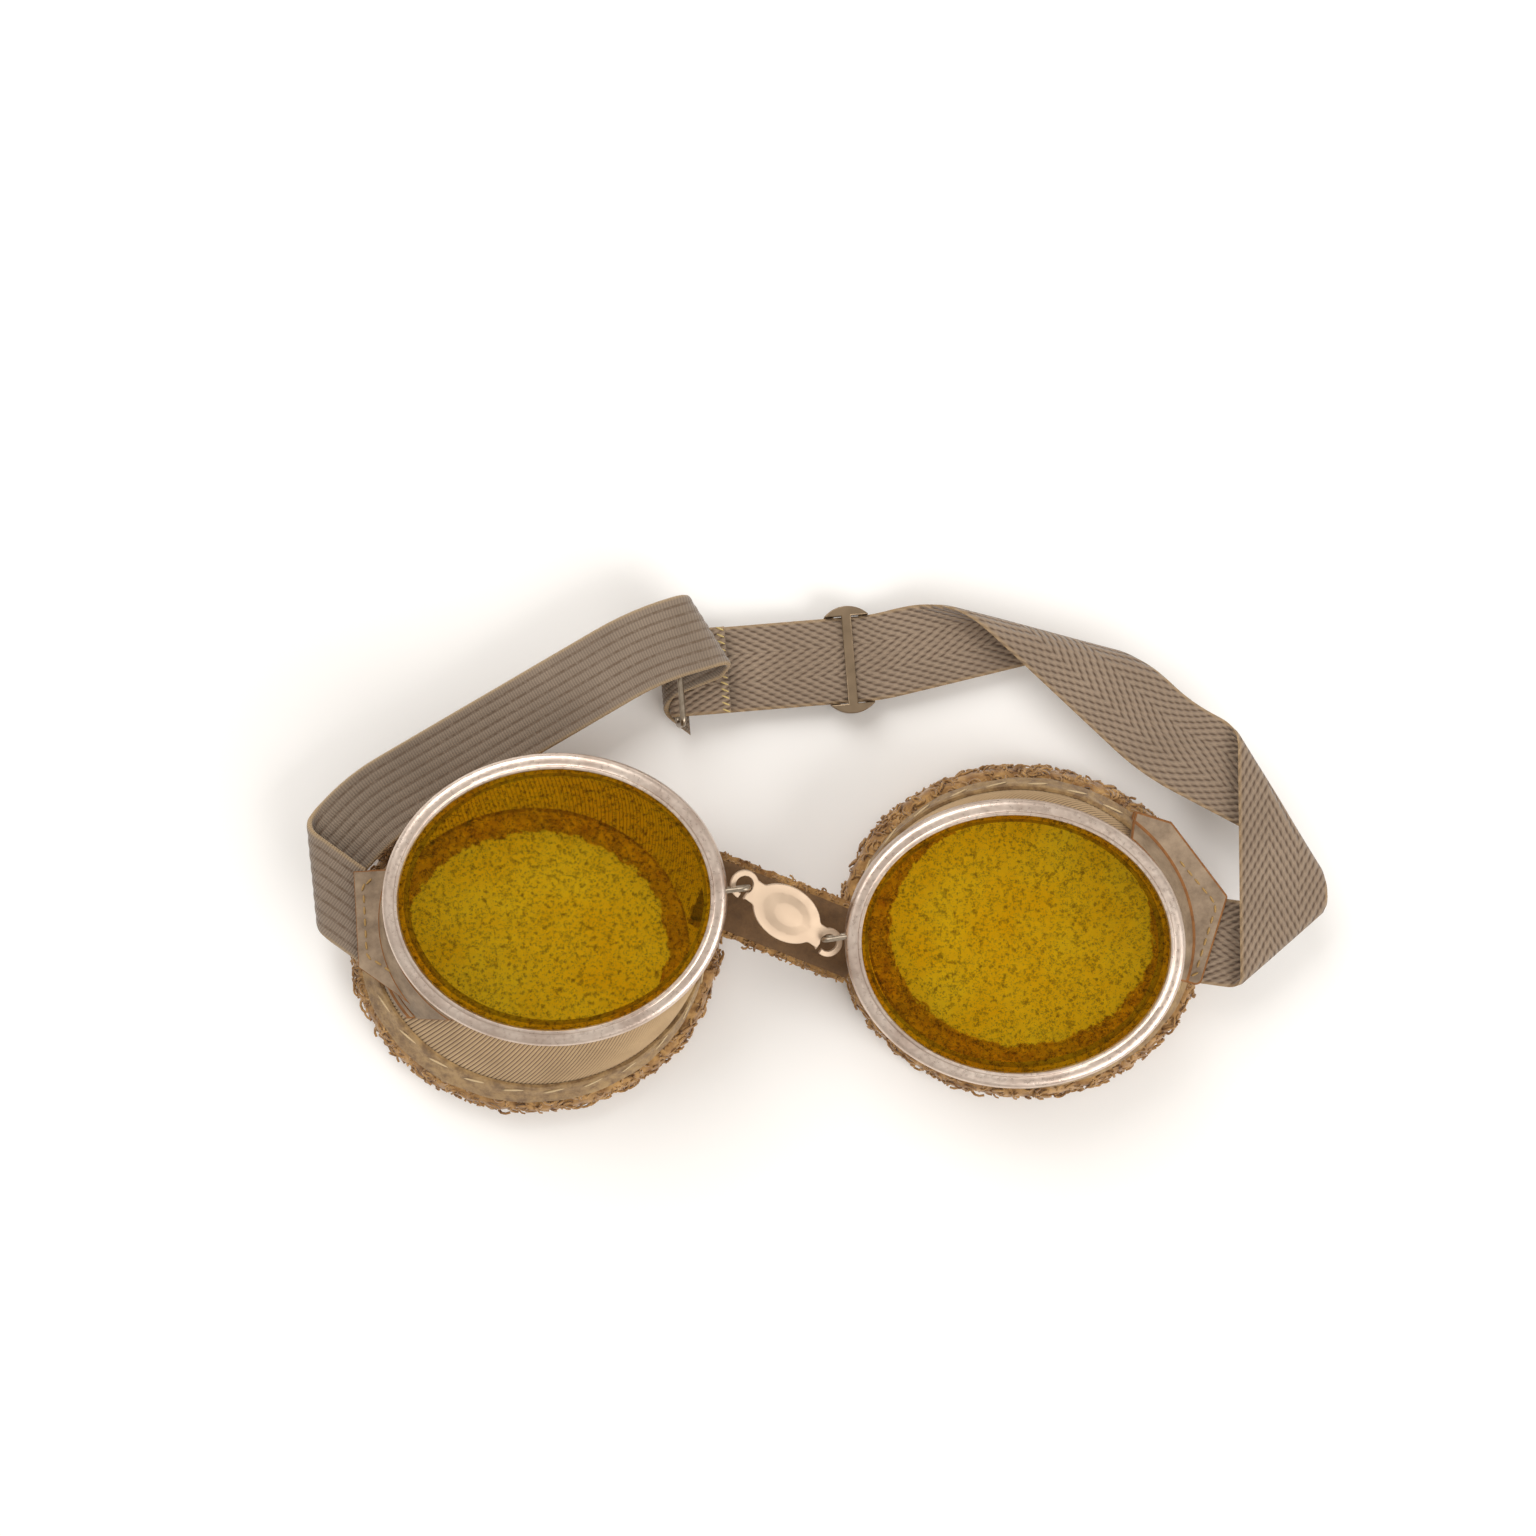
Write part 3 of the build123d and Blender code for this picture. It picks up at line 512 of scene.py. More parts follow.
# Tufted yarn with a velvety sheen, and painted shade in patches for the dark roots of its loops.
# Inside the cup it is painted paler, as painted light for the dimly lit inside of the cup.
chenille = chenille_pile("golden-brown chenille", "#7d5529", "#a07440", "#cfa566")
lit_chenille = chenille_pile("pale gold chenille, painted lit inside", "#b98b4c", "#e3bd7c", "#ffe6ae")

pile_tree, pile_inputs, group_in, group_out = shape_tree("chenille pile", {
    "Strands Per Square Metre": 520000.0, "Curl Radius": 0.0011, "Yarn Radius": 0.00024})
roots = add(pile_tree, "GeometryNodeDistributePointsOnFaces", {
    "Mesh": group_in.outputs["Geometry"], "Density": group_in.outputs["Strands Per Square Metre"], "Seed": 7})
bow = add(pile_tree, "GeometryNodeCurveArc", {
    "Resolution": 5, "Radius": group_in.outputs["Curl Radius"], "Sweep Angle": 2.6})
yarn = add(pile_tree, "GeometryNodeCurvePrimitiveCircle", {
    "Resolution": 4, "Radius": group_in.outputs["Yarn Radius"]})
loop = add(pile_tree, "GeometryNodeCurveToMesh", {
    "Curve": bow.outputs[0], "Profile Curve": yarn.outputs[0], "Fill Caps": True})
soft = add(pile_tree, "GeometryNodeSetShadeSmooth", {0: loop.outputs[0]})
toss = add(pile_tree, "FunctionNodeRandomValue", {
    0: (-0.55, -0.55, 0.0), 1: (0.55, 0.55, 6.283), "Seed": 11}, data_type="FLOAT_VECTOR")
tossed = add(pile_tree, "FunctionNodeEulerToRotation", {0: toss.outputs[0]})
turned = add(pile_tree, "FunctionNodeRotateRotation", {
    0: roots.outputs["Rotation"], 1: tossed.outputs[0]}, rotation_space="LOCAL")
growth = add(pile_tree, "FunctionNodeRandomValue", {2: 0.6, 3: 1.4, "Seed": 13}, data_type="FLOAT")
laid = add(pile_tree, "GeometryNodeInstanceOnPoints", {
    "Points": roots.outputs[0], "Instance": soft.outputs[0],
    "Rotation": turned.outputs[0], "Scale": growth.outputs[1]})
real = add(pile_tree, "GeometryNodeRealizeInstances", {0: laid.outputs[0]})
whole = add(pile_tree, "GeometryNodeJoinGeometry")
pile_tree.links.new(group_in.outputs["Geometry"], whole.inputs[0])
pile_tree.links.new(real.outputs[0], whole.inputs[0])
dressed = add(pile_tree, "GeometryNodeSetMaterial", {0: whole.outputs[0], "Material": chenille})
pile_tree.links.new(dressed.outputs[0], group_out.inputs[0])

pad_oval = (38.0, 34.25)
pad_middle, pad_half = (5.5, 4.95), (4.9, 4.65)
pad_rings, pad_steps = 36, 240
pad_sole, pad_crown = 0.1, 10.1
pad_lumps = ((0.16, 0.55), (0.45, 0.4), (1.2, 0.22))
lit_inset = 6.5
for side, cup in cups.items():
    rows = []
    for i in range(pad_rings):
        turn = 2 * math.pi * i / pad_rings
        swing, lift = (math.copysign(abs(f(turn)) ** 0.75, f(turn)) for f in (math.cos, math.sin))
        inset = pad_middle[0] + pad_half[0] * swing
        z = pad_middle[1] + pad_half[1] * lift
        semi = (pad_oval[0] - inset, pad_oval[1] - inset)
        row = oval_row(cup["middle"] + cup["shift"], cup["turn"], semi, z, pad_steps)
        for j, point in enumerate(row):
            facing = row[j - pad_steps // 2]
            away = Vector((point.x - facing.x, point.y - facing.y, 0)).normalized()
            lump = sum(noise.noise(point * often) * high for often, high in pad_lumps)
            row[j] = point + (Vector((0, 0, lift)) - away * swing) * lump
        rows.append(row)
    ring = skin(f"{side}_pad_ring", rows, chenille, closed=True)
    pad = plain_mesh(ring, f"{side}_plush_pad", pile_tree, pile_inputs, {})
    for vertex in pad.data.vertices:
        vertex.co.z = min(max(vertex.co.z, pad_sole * MM), pad_crown * MM)
    pad.data.materials.clear()
    pad.data.materials.append(chenille)
    pad.data.materials.append(lit_chenille)
    # Faces well inside the pad's oval get the paler chenille: painted light for the dim inside of the cup.
    turn_back = Matrix.Rotation(-math.radians(cup["turn"]), 3, "Z")
    for face in pad.data.polygons:
        spot = turn_back @ (face.center / MM - cup["middle"] - cup["shift"])
        within = (spot.x / (pad_oval[0] - lit_inset)) ** 2 + (spot.y / (pad_oval[1] - lit_inset)) ** 2
        face.material_index = 1 if within < 1 else 0
    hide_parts(f"{side}_face_pad")
    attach(pad, f"{side}_cup")

# Strap tabs. Two layers of grey-brown leather grip each strap's end: a tongue that runs flat
# out from the wall, and a patch sewn to the wall. They keep the shapes of the frame.
# Grain leather has fine pores and a little gloss, and is rubbed paler in patches.
tab_leather, tree, shader, place = new_material("grey-brown leather, scuffed")
grain = add(tree, "ShaderNodeTexVoronoi", {"Vector": place, "Scale": 1500.0})
scuff = add(tree, "ShaderNodeTexNoise", {"Vector": place, "Scale": 240.0, "Detail": 7.0, "Roughness": 0.65})
rub = add(tree, "ShaderNodeMapRange", {0: scuff.outputs[0], 1: 0.35, 2: 0.68})
tone = add(tree, "ShaderNodeMix", {0: rub.outputs[0], 6: srgb("#75614b"), 7: srgb("#9c866d")}, data_type="RGBA")
relief = add(tree, "ShaderNodeBump", {"Height": grain.outputs[0], "Strength": 0.3, "Distance": 0.0002})
fill(tree, shader, {"Base Color": tone.outputs[2], "Normal": relief.outputs[0], "Roughness": 0.62})

tabs = {
    "left": {"heading": 183.0, "reach": 5.0, "mouth": Vector((-91.477, -12.347, 18.4)), "strap": 1.2},
    "right": {"heading": -17.0, "reach": 6.2, "mouth": Vector((79.697, -17.191, 12.6)), "strap": 0.9},
}
tab_thickness, strap_gap = 1.3, 0.3


def merged_copy(node_name, name, dress):
    """A bare copy of a frame node's shape, its doubled corners joined, then dressed."""
    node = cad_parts[node_name]
    made = bpy.data.objects.new(name, node.data.copy())
    scene.collection.objects.link(made)
    made.data.transform(node.matrix_world)
    shape = bmesh.new()
    shape.from_mesh(made.data)
    bmesh.ops.remove_doubles(shape, verts=shape.verts, dist=2e-6)
    dress(shape)
    shape.to_mesh(made.data)
    shape.free()
    made.data.materials.clear()
    return made


def flatten(shape):
    """Joins the faces that lie in one plane."""
    bmesh.ops.dissolve_limit(shape, angle_limit=0.02, verts=shape.verts, edges=shape.edges)


def ease_edges(piece, width, material=-1):
    """Rounds the piece's edges by a width in metres."""
    easing = piece.modifiers.new("eased edges", "BEVEL")
    easing.width = width
    easing.segments = 2
    easing.material = material
    easing.limit_method = "ANGLE"
    easing.angle_limit = 0.7


for side, tab in tabs.items():
    along = Vector((math.cos(math.radians(tab["heading"])), math.sin(math.radians(tab["heading"])), 0))
    across = Vector((-along.y, along.x, 0))
    root = tab["mouth"] - along * tab["reach"]
    for node_name in (f"{side}_tab", f"{side}_tab_lining"):
        leather = merged_copy(node_name, node_name.replace("tab", "leather_tab"), flatten)
        leather.data.materials.append(tab_leather)
        leather.data.materials.append(raw_edge)
        for polygon in leather.data.polygons:
            beyond = (polygon.center / MM - root).dot(along)
            sideways = abs(polygon.normal.dot(across))
            outer = abs(polygon.normal.z) < 0.5 and beyond > 3.0
            polygon.material_index = 1 if sideways > 0.8 or outer else 0
        ease_edges(leather, 0.00045, material=1)
        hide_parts(node_name)
        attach(leather, f"{side}_cup")
    # The seam goes round the tongue and back over the patch: along and across from the root.
    top = tab["mouth"].z + tab["strap"] / 2 + strap_gap + tab_thickness
    seam = [root + along * a + across * b for a, b in (
        (2.0, -7.4), (tab["reach"] - 1.8, -7.4), (tab["reach"] - 1.8, 7.2), (-4.5, 13.0))]
    fine = []
    for a, b in zip(seam[:-1], seam[1:]):
        fine += [a.lerp(b, i / 12) for i in range(12)]
    fine = [Vector((p.x, p.y, top + 0.05)) for p in fine + [seam[-1]]]
    sew(f"{side}_tab_stitches", fine, f"{side}_cup", "ochre waxed thread",
        pitch=0.0022, length=0.0017, radius=0.00024)


# Head strap. Its elastic and its webbing are each one flat strip that is folded about creases
# across it. A route keeps the strip's own length and lean, so that the weave follows each fold.
class StrapRoute:
    """A flat strip laid out as lines across it."""
    line_gap = 1.5

    def __init__(self, start, heading, width, end_bearing):
        turn = math.radians(heading)
        self.width = width
        self.point = Vector(start)
        self.along = Vector((math.cos(turn), math.sin(turn), 0))
        self.across = Vector((-math.sin(turn), math.cos(turn), 0))
        self.lines = []
        self.length = 0
        self.laid = 0
        self.lay_line(self.crease(end_bearing))

    def normal(self):
        """The side that the strip's first face looks to."""
        return self.along.cross(self.across)

    def facing(self):
        """1 while that face looks up, -1 while it looks down."""
        return 1 if self.normal().z > 0 else -1

    def crease(self, bearing):
        """The direction of a line across the strip at a bearing."""
        heading = math.degrees(math.atan2(self.along.y, self.along.x))
        skew = math.radians((self.facing() * (bearing - heading)) % 180)
        return self.along * math.cos(skew) + self.across * math.sin(skew)

    def lean(self, crease):
        """How far a line leans along the strip from its middle to its edge."""
        return self.width / 2 * crease.dot(self.along) / crease.dot(self.across)

    def half_line(self, crease):
        """From the strip's middle to its edge along a line."""
        return crease * (self.width / 2 / crease.dot(self.across))

    def run(self, length):
        """The next flat stretch, as long as its shorter edge."""
        self.length = length

    def lay_line(self, crease):
        """Goes on by the stretch, and further by as much as its two end lines lean apart."""
        lean = self.lean(crease)
        half = self.half_line(crease)
        if self.lines:
            start, before, tilt, laid = self.point, self.last_half, self.last_lean, self.laid
            step = self.length + abs(lean - tilt)
            self.point = start + self.along * step
            self.laid += step
            parts = max(3, int(step / self.line_gap))
            for i in range(1, parts + 1):
                share = i / parts
                self.lines.append((start.lerp(self.point, share), before.lerp(half, share), self.normal(),
                                   laid + step * share, tilt + (lean - tilt) * share))
        else:
            self.lines.append((self.point, half, self.normal(), 0, lean))
        self.leave_line(crease)

    def leave_line(self, crease):
        """Notes the line that the next stretch starts from."""
        self.last_half = self.half_line(crease)
        self.last_lean = self.lean(crease)
        self.length = 0

    def sway(self, turn, radius, parts=6):
        """A slow turn in the strip's own plane."""
        self.lay_line(self.across)
        turn = math.radians(turn * self.facing())
        spin = Matrix.Rotation(turn / parts, 3, self.normal())
        for i in range(parts):
            centre = self.point + self.across * (radius if turn > 0 else -radius)
            self.point = centre + spin @ (self.point - centre)
            self.across = spin @ self.across
            self.along = spin @ self.along
            self.laid += radius * abs(turn) / parts
            self.lines.append((self.point, self.across * (self.width / 2), self.normal(), self.laid, 0))
        self.leave_line(self.across)

    def fold(self, bearing, turn, radius, parts=20):
        """A bend about a line across the strip: a positive turn brings the strip up and over."""
        crease = self.crease(bearing)
        self.lay_line(crease)
        turn = turn * self.facing()
        normal = self.normal()
        inward = normal if turn > 0 else -normal
        centre = self.point + inward * radius
        axis = crease.cross(normal).cross(inward)
        arm, half = self.point - centre, self.half_line(crease)
        angle = math.radians(abs(turn))
        slip = crease * (radius * angle * crease.dot(self.along) / crease.dot(self.across))
        lean = self.lean(crease)
        for i in range(1, parts + 1):
            share = i / parts
            spin = Matrix.Rotation(angle * share, 3, axis)
            self.point = centre + spin @ arm + slip * share
            self.laid += radius * angle / parts / crease.dot(self.across)
            self.lines.append((self.point, half, spin @ normal, self.laid, lean))
        spin = Matrix.Rotation(angle, 3, axis)
        self.along = spin @ self.along
        self.across = spin @ self.across
        self.leave_line(crease)


def strip_mesh(name, lines, width, half_thickness, columns, material, wobble):
    """The strip's two faces and rounded selvedges, with the weave's own coordinates."""
    rows, flat = [], []
    for point, half, normal, laid, lean in lines:
        row, spots = [], []
        for face in (1, -1):
            for i in range(columns):
                share = (2 * i / (columns - 1) - 1) * face
                puff = half_thickness(share) * face
                wave = noise.noise(Vector((laid * 0.11, share * 1.3, width))) * wobble
                row.append(point + half * share + normal * (puff + wave))
                spots.append((laid + share * lean, share * width / 2))
        spots.append(spots[0])
        rows.append(row)
        flat.append(spots)
    return skin(name, rows, material, uv=lambda r, c: flat[r][c])


# Elastic: grey ribbed elastic. It leaves the left tab, folds under, runs up beside the cup,
# rolls over, and ends gathered and sewn round the link's bar.
elastic_width, eye_width = 16.0, 7.5
rib_count, cross_thread = 8, 0.55
# Knitted over rubber, it shows eight soft cords along it, with painted shade in the furrows
# between them. Its cross threads are drawn 0.55 mm apart, coarser than real, so that they show.
ribbed_elastic, tree, shader, place = new_material("ribbed grey elastic")
map_uv = add(tree, "ShaderNodeUVMap", uv_map="UVMap")
split = add(tree, "ShaderNodeSeparateXYZ", {0: map_uv.outputs[0]})
phase = add(tree, "ShaderNodeMath", {
    0: split.outputs[1], 1: 2 * math.pi * rib_count / elastic_width}, operation="MULTIPLY")
wave = add(tree, "ShaderNodeMath", {0: phase.outputs[0]}, operation="COSINE")
# Painted shade: this mask darkens the furrows between the cords.
painted_furrow_shade = add(tree, "ShaderNodeMapRange", {0: wave.outputs[0], 1: 0.45, 2: 0.95, 3: 1.0, 4: 0.0})
pick = add(tree, "ShaderNodeMath", {0: split.outputs[0], 1: 2 * math.pi / cross_thread}, operation="MULTIPLY")
stitchwise = add(tree, "ShaderNodeMath", {0: pick.outputs[0]}, operation="SINE")
fuzz = add(tree, "ShaderNodeTexNoise", {"Vector": place, "Scale": 1500.0, "Detail": 4.0})
zone = add(tree, "ShaderNodeTexNoise", {"Vector": place, "Scale": 90.0, "Detail": 3.0})
worn = add(tree, "ShaderNodeMix", {
    0: zone.outputs[0], 6: srgb("#776757"), 7: srgb("#93816f")}, data_type="RGBA")
loops = add(tree, "ShaderNodeMapRange", {0: stitchwise.outputs[0], 1: -1.0, 2: 0.2, 3: 0.74, 4: 1.0})
shade = add(tree, "ShaderNodeMix", {
    0: 1.0, 6: worn.outputs[2], 7: loops.outputs[0]}, data_type="RGBA", blend_type="MULTIPLY")
broken = add(tree, "ShaderNodeMapRange", {0: fuzz.outputs[0], 1: 0.4, 2: 0.65, 3: 0.0, 4: 0.7})
furrow_shade_and_flecks = add(tree, "ShaderNodeMath", {0: painted_furrow_shade.outputs[0], 1: broken.outputs[0]}, operation="MAXIMUM")
# The furrows take the dark colour as painted shade, and random dark flecks take it too.
ribbed = add(tree, "ShaderNodeMix", {
    0: furrow_shade_and_flecks.outputs[0], 6: srgb("#655240"), 7: shade.outputs[2]}, data_type="RGBA")
aside = add(tree, "ShaderNodeMath", {0: split.outputs[1]}, operation="ABSOLUTE")
edge = add(tree, "ShaderNodeMapRange", {
    0: aside.outputs[0], 1: elastic_width / 2 - 0.8, 2: elastic_width / 2 - 0.1, 3: 0.0, 4: 0.75})
tone = add(tree, "ShaderNodeMix", {
    0: edge.outputs[0], 6: ribbed.outputs[2], 7: srgb("#b0946c")}, data_type="RGBA")
height = add(tree, "ShaderNodeMath", {
    0: stitchwise.outputs[0], 1: 0.5, 2: fuzz.outputs[0]}, operation="MULTIPLY_ADD")
relief = add(tree, "ShaderNodeBump", {"Height": height.outputs[0], "Strength": 0.5, "Distance": 0.00025})
fill(tree, shader, {
    "Base Color": tone.outputs[2], "Normal": relief.outputs[0], "Roughness": 0.88, "Sheen Weight": 0.25})

elastic = StrapRoute((-89.4338, -12.4585, 18.4), 144.5, elastic_width, 183.0 + 90)
elastic.run(9.566)
elastic.fold(95.8, -180, 2.5)
elastic.run(0.2)
elastic.sway(-16.8, 40)
elastic.run(50.633)
elastic.sway(-13.9, 60)
elastic.run(0.3)
elastic.fold(121.5, -180, 2.725)
crown_line = len(elastic.lines) - 1
elastic.width = eye_width
elastic.run(6.5)
elastic.fold(94.7, -180, 2.2)
elastic.run(3.0)
elastic.lay_line(elastic.crease(94.7))


def elastic_half(share):
    """Half the elastic's thickness across its width: eight cords and thin selvedges."""
    rib = 0.5 - 0.5 * math.cos(2 * math.pi * rib_count * (share + 1) / 2)
    return (0.48 + 0.12 * rib) * min(1, math.sqrt(max(0, 1 - abs(share))) * 5) + 0.02


elastic_strip = strip_mesh(
    "elastic_strip", elastic.lines[:crown_line + 1], elastic_width, elastic_half, 65, ribbed_elastic, 0.15)
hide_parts("elastic_band")
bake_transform(elastic_strip)
elastic_eye = strip_mesh(
    "elastic_eye", elastic.lines[crown_line:], elastic_width, elastic_half, 65, ribbed_elastic, 0.15)
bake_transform(elastic_eye)

# Webbing: cotton herringbone tape. It leaves the right tab, is folded three times and is sewn
# round the link's lower bar.
webbing_width, lane_width, lane_start = 17.6, 5.87, 2.93
rib_pitch, yarn_pitch = 2.7, 0.75
# Twill shows slanting ribs that turn in each of the tape's three lanes. Its yarns are drawn
# 0.75 mm wide, coarser than real, so that they show.
herringbone, tree, shader, place = new_material("herringbone cotton tape")
map_uv = add(tree, "ShaderNodeUVMap", uv_map="UVMap")
split = add(tree, "ShaderNodeSeparateXYZ", {0: map_uv.outputs[0]})
stray = add(tree, "ShaderNodeTexNoise", {"Vector": place, "Scale": 160.0, "Detail": 2.0})
bent = add(tree, "ShaderNodeMath", {0: stray.outputs[0], 1: 0.8, 2: split.outputs[0]}, operation="MULTIPLY_ADD")
lane = add(tree, "ShaderNodeMath", {0: split.outputs[1], 1: lane_start}, operation="ADD")
zigzag = add(tree, "ShaderNodeMath", {0: lane.outputs[0], 1: lane_width}, operation="PINGPONG")
slope = add(tree, "ShaderNodeMath", {
    0: zigzag.outputs[0], 1: 1.9, 2: bent.outputs[0]}, operation="MULTIPLY_ADD")
phase = add(tree, "ShaderNodeMath", {0: slope.outputs[0], 1: 2 * math.pi / rib_pitch}, operation="MULTIPLY")
twill = add(tree, "ShaderNodeMath", {0: phase.outputs[0]}, operation="SINE")
aside = add(tree, "ShaderNodeMath", {0: split.outputs[1]}, operation="ABSOLUTE")
yarn_way = add(tree, "ShaderNodeMath", {0: aside.outputs[0], 1: 2 * math.pi / yarn_pitch}, operation="MULTIPLY")
yarn = add(tree, "ShaderNodeMath", {0: yarn_way.outputs[0]}, operation="SINE")
dashed = add(tree, "ShaderNodeMath", {
    0: yarn.outputs[0], 1: 0.3, 2: twill.outputs[0]}, operation="MULTIPLY_ADD")
crest = add(tree, "ShaderNodeMapRange", {0: dashed.outputs[0], 1: -1.15, 2: -0.2})
zone = add(tree, "ShaderNodeTexNoise", {"Vector": place, "Scale": 70.0, "Detail": 4.0})
worn = add(tree, "ShaderNodeMix", {
    0: zone.outputs[0], 6: srgb("#826e5a"), 7: srgb("#9e8974")}, data_type="RGBA")
twilled = add(tree, "ShaderNodeMix", {
    0: crest.outputs[0], 6: srgb("#5c4837"), 7: worn.outputs[2]}, data_type="RGBA")
edge = add(tree, "ShaderNodeMapRange", {
    0: aside.outputs[0], 1: webbing_width / 2 - 0.8, 2: webbing_width / 2 - 0.1, 3: 0.0, 4: 0.7})
tone = add(tree, "ShaderNodeMix", {
    0: edge.outputs[0], 6: twilled.outputs[2], 7: srgb("#a88a62")}, data_type="RGBA")
fuzz = add(tree, "ShaderNodeTexNoise", {"Vector": place, "Scale": 2200.0, "Detail": 3.0})
height = add(tree, "ShaderNodeMath", {
    0: yarn.outputs[0], 1: 0.35, 2: twill.outputs[0]}, operation="MULTIPLY_ADD")
rough = add(tree, "ShaderNodeMath", {
    0: fuzz.outputs[0], 1: 0.6, 2: height.outputs[0]}, operation="MULTIPLY_ADD")
relief = add(tree, "ShaderNodeBump", {"Height": rough.outputs[0], "Strength": 0.7, "Distance": 0.0003})
fill(tree, shader, {
    "Base Color": tone.outputs[2], "Normal": relief.outputs[0], "Roughness": 0.9, "Sheen Weight": 0.2})

webbing = StrapRoute((77.1224, -16.8287, 12.6), -8.0, webbing_width, -17.0 + 90)
webbing.run(7.2)
webbing.fold(41.3, 180, 1.5)
webbing.run(0.7)
webbing.fold(121.4, -180, 1.5)
webbing.run(0.2)
webbing.sway(-15.4, 45)
webbing.run(0.2)
webbing.fold(165.2, -180, 4.0)
webbing.run(0.2)
webbing.sway(-8.9, 45)
webbing.run(37.8)
webbing.fold(94.7, 180, 1.15)
webbing.run(11.0)
webbing.lay_line(webbing.across)


def webbing_half(share):
    """Half the tape's thickness: even, with rounded woven selvedges."""
    return 0.42 * min(1, math.sqrt(max(0, 1 - abs(share))) * 4) + 0.02


webbing_tape = strip_mesh("webbing_tape", webbing.lines, webbing_width, webbing_half, 25, herringbone, 0.12)
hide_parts("webbing_strap")
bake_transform(webbing_tape)

# The webbing's end is overcast to the tape below with yellow thread, near its cut edge.
end_point, end_half = webbing.lines[-1][:2]
lift, inset = Vector((0, 0, 0.42)), 0.9
seam = [end_point + end_half * (1.9 * i / 20 - 0.95) - webbing.along * inset + lift for i in range(21)]
sew("webbing_end_stitches", seam, "bridge", "yellow thread",
    pitch=0.0013, length=0.0019, radius=0.0002, slant=1.1)

# Nose strap: brown leather between the cups, below the plate, lined with a raised golden pile
# that stands out past its edges. Its ends are sewn to the walls.
# Napped leather is dull and fibrous, and dark where it was handled.
nose_leather, tree, shader, place = new_material("brown strap leather, napped")
nap = add(tree, "ShaderNodeTexNoise", {"Vector": place, "Scale": 380.0, "Detail": 8.0, "Roughness": 0.7})
tone = add(tree, "ShaderNodeMix", {0: nap.outputs[0], 6: srgb("#3f2a18"), 7: srgb("#86643f")}, data_type="RGBA")
relief = add(tree, "ShaderNodeBump", {"Height": nap.outputs[0], "Strength": 0.6, "Distance": 0.0005})
fill(tree, shader, {"Base Color": tone.outputs[2], "Normal": relief.outputs[0], "Roughness": 0.85})

nose_from, nose_to = Vector((-23.014, -5.928, 19.6)), Vector((7.923, -17.996, 18.6))
nose_along = (nose_to - nose_from).normalized()
nose_across = Vector((-nose_along.y, nose_along.x, 0)).normalized()
nose_sag, nose_width, lining_width = 1.6, 13.0, 15.4
nose_steps, nose_columns = 40, 13
nose_halves = {"left": range(nose_steps // 2 + 1), "right": range(nose_steps // 2, nose_steps + 1)}


def nose_strip(name, side, width, thickness, drop, material, ragged):
    """Half of a strip that sags between the two walls; ragged is how uneven its edges are."""
    rows = []
    for i in nose_halves[side]:
        share = i / nose_steps
        reach = 0.4 + 0.2 * abs(2 * share - 1)
        sag = nose_sag * (1 - (2 * share - 1) ** 2) * reach / 0.6
        point = nose_from.lerp(nose_to, share) - Vector((0, 0, drop + sag))
        row = []
        for face in (1, -1):
            for j in range(nose_columns):
                across = (2 * j / (nose_columns - 1) - 1) * face
                edge = 1 + ragged * noise.noise(Vector((i * 0.45, face * (1 if across > 0 else -1), drop)))
                bow = 0.5 * across * across
                puff = thickness / 2 * min(1, 2.5 * math.sqrt(max(0.0, 1 - abs(across)))) * face
                row.append(point + nose_across * (across * width / 2 * edge) + Vector((0, 0, puff + bow * 0.4)))
        rows.append(row)
    return skin(name, rows, material)


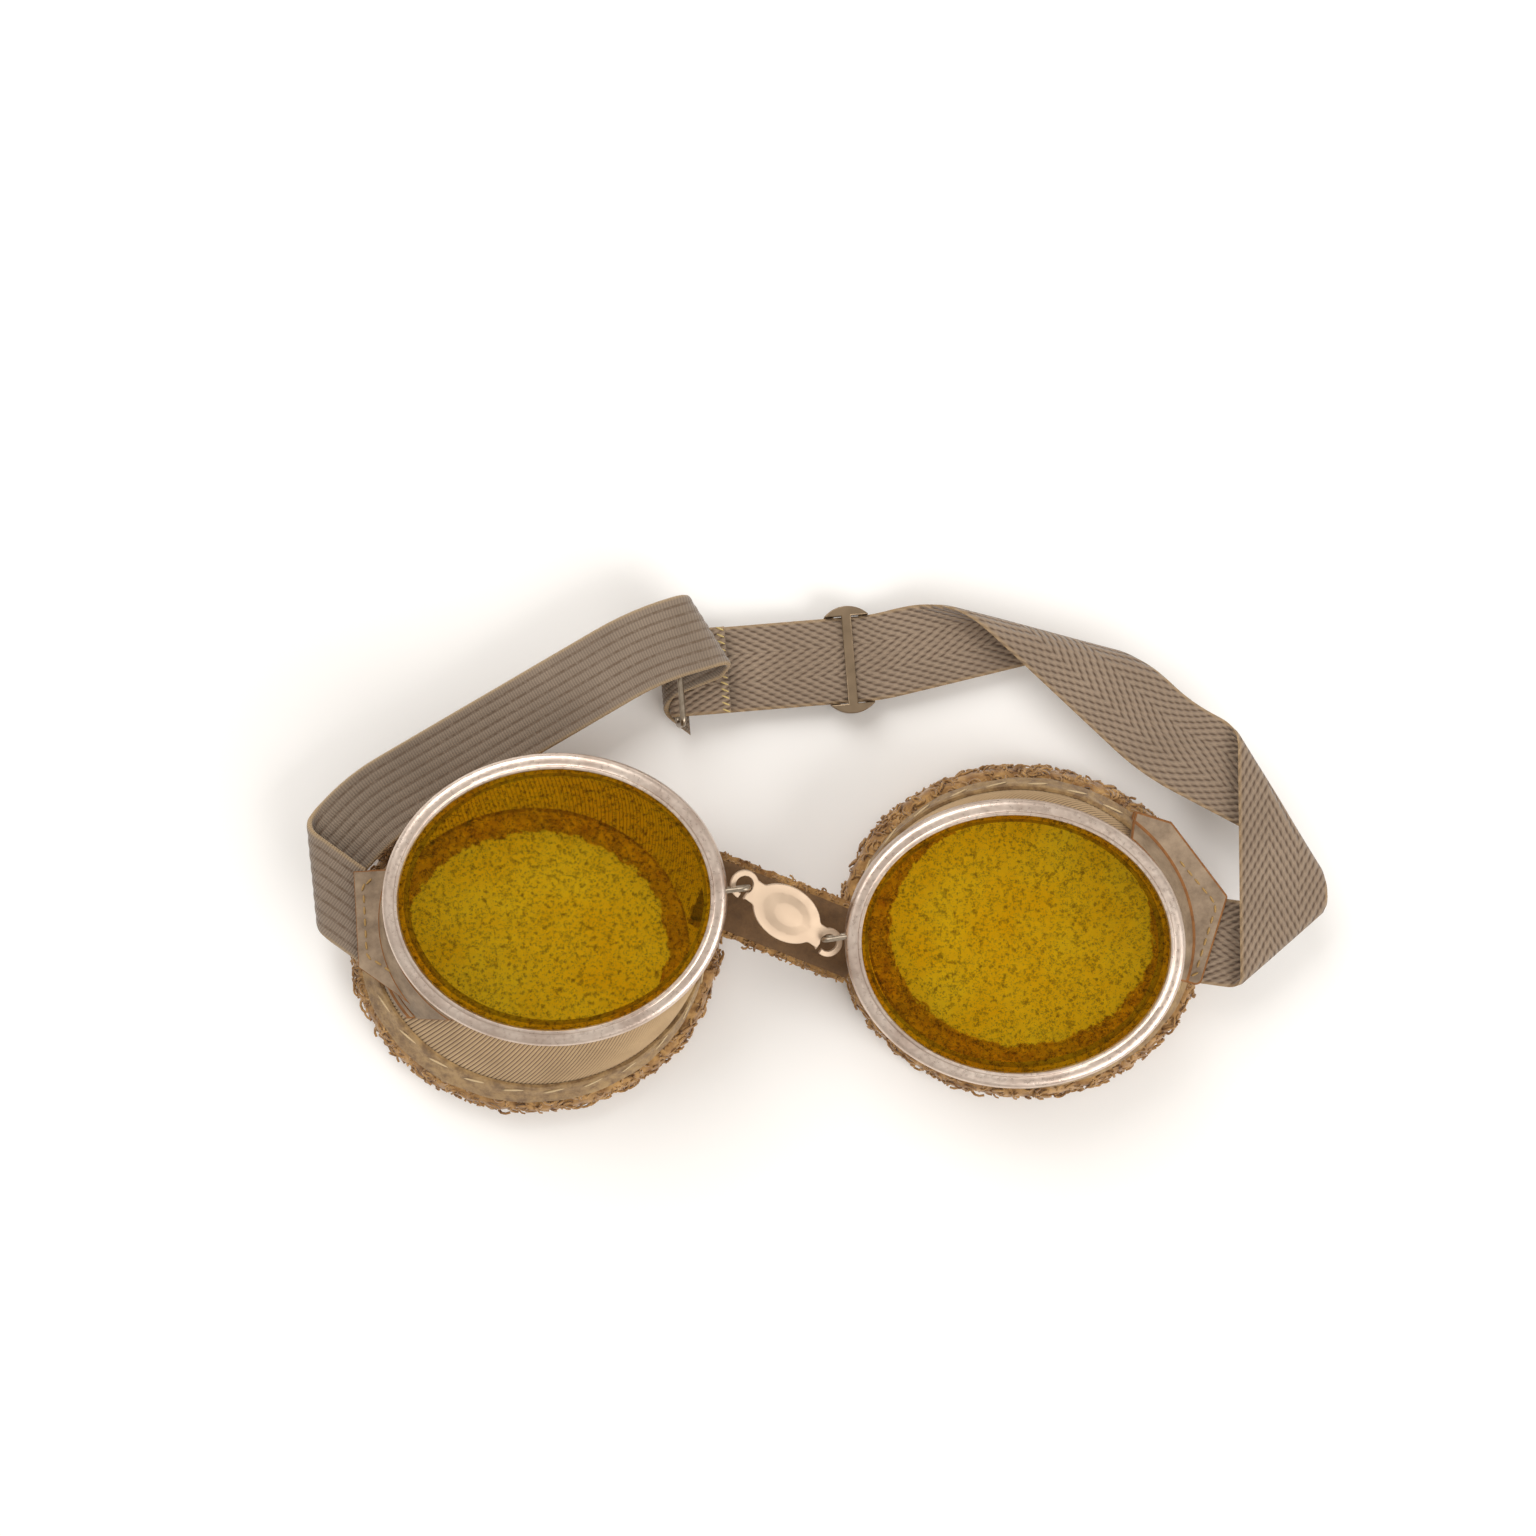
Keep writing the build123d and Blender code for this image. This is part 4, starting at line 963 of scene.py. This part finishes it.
for side, wall_end in (("left", nose_from), ("right", nose_to)):
    strap = nose_strip(f"{side}_nose_leather", side, nose_width, 1.4, 0.0, nose_leather, 0.04)
    lining = nose_strip(f"{side}_nose_lining_base", side, lining_width, 1.0, 1.4, chenille, 0.06)
    lining = plain_mesh(lining, f"{side}_nose_pile", pile_tree, pile_inputs, {
        "Strands Per Square Metre": 1100000.0, "Curl Radius": 0.0006, "Yarn Radius": 0.00018})
    if side == "left":
        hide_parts("nose_strap")
        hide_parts("nose_strap_lining")
    for half_strap in (strap, lining):
        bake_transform(half_strap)

# Bridge plate, wire link and slider keep the shapes of the frame. The plate is stamped from
# light metal, the link bent from wire, and the slider from lacquered sheet steel.
# Stamped metal worn to a satin: pale, with a wide soft gleam and no sharp reflection.
plate_metal, tree, shader, place = new_material("stamped light metal, polished")
wear = add(tree, "ShaderNodeTexNoise", {"Vector": place, "Scale": 350.0, "Detail": 5.0})
tone = add(tree, "ShaderNodeMix", {
    0: wear.outputs[0], 6: srgb("#c4ad94"), 7: srgb("#dcc7b0")}, data_type="RGBA")
matt = add(tree, "ShaderNodeMapRange", {0: wear.outputs[0], 1: 0.3, 2: 0.7, 3: 0.58, 4: 0.7})
fill(tree, shader, {"Base Color": tone.outputs[2], "Roughness": matt.outputs[0], "Metallic": 1.0})
# Yellowed lacquer over steel gives a darker, warmer gleam, cloudy in patches.
slider_metal, tree, shader, place = new_material("lacquered steel, tarnished")
wear = add(tree, "ShaderNodeTexNoise", {"Vector": place, "Scale": 300.0, "Detail": 5.0})
tone = add(tree, "ShaderNodeMix", {
    0: wear.outputs[0], 6: srgb("#71604c"), 7: srgb("#a08a70")}, data_type="RGBA")
fill(tree, shader, {"Base Color": tone.outputs[2], "Metallic": 0.9, "Roughness": 0.38})
for node_name, finish, slot_name, body, ease in (
    ("bridge_plate", plate_metal, "plate_metal", "bridge", 0.00022),
    ("wire_link", steel_wire, "loop_wire", "link", 0.0),
    ("slider", slider_metal, "slider_metal", "slider", 0.0002),
):
    part = merged_copy(node_name, f"{node_name}_finished", crisp)
    part.data.materials.append(finish)
    if ease:
        ease_edges(part, ease)
    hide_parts(node_name)
    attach(part, body)
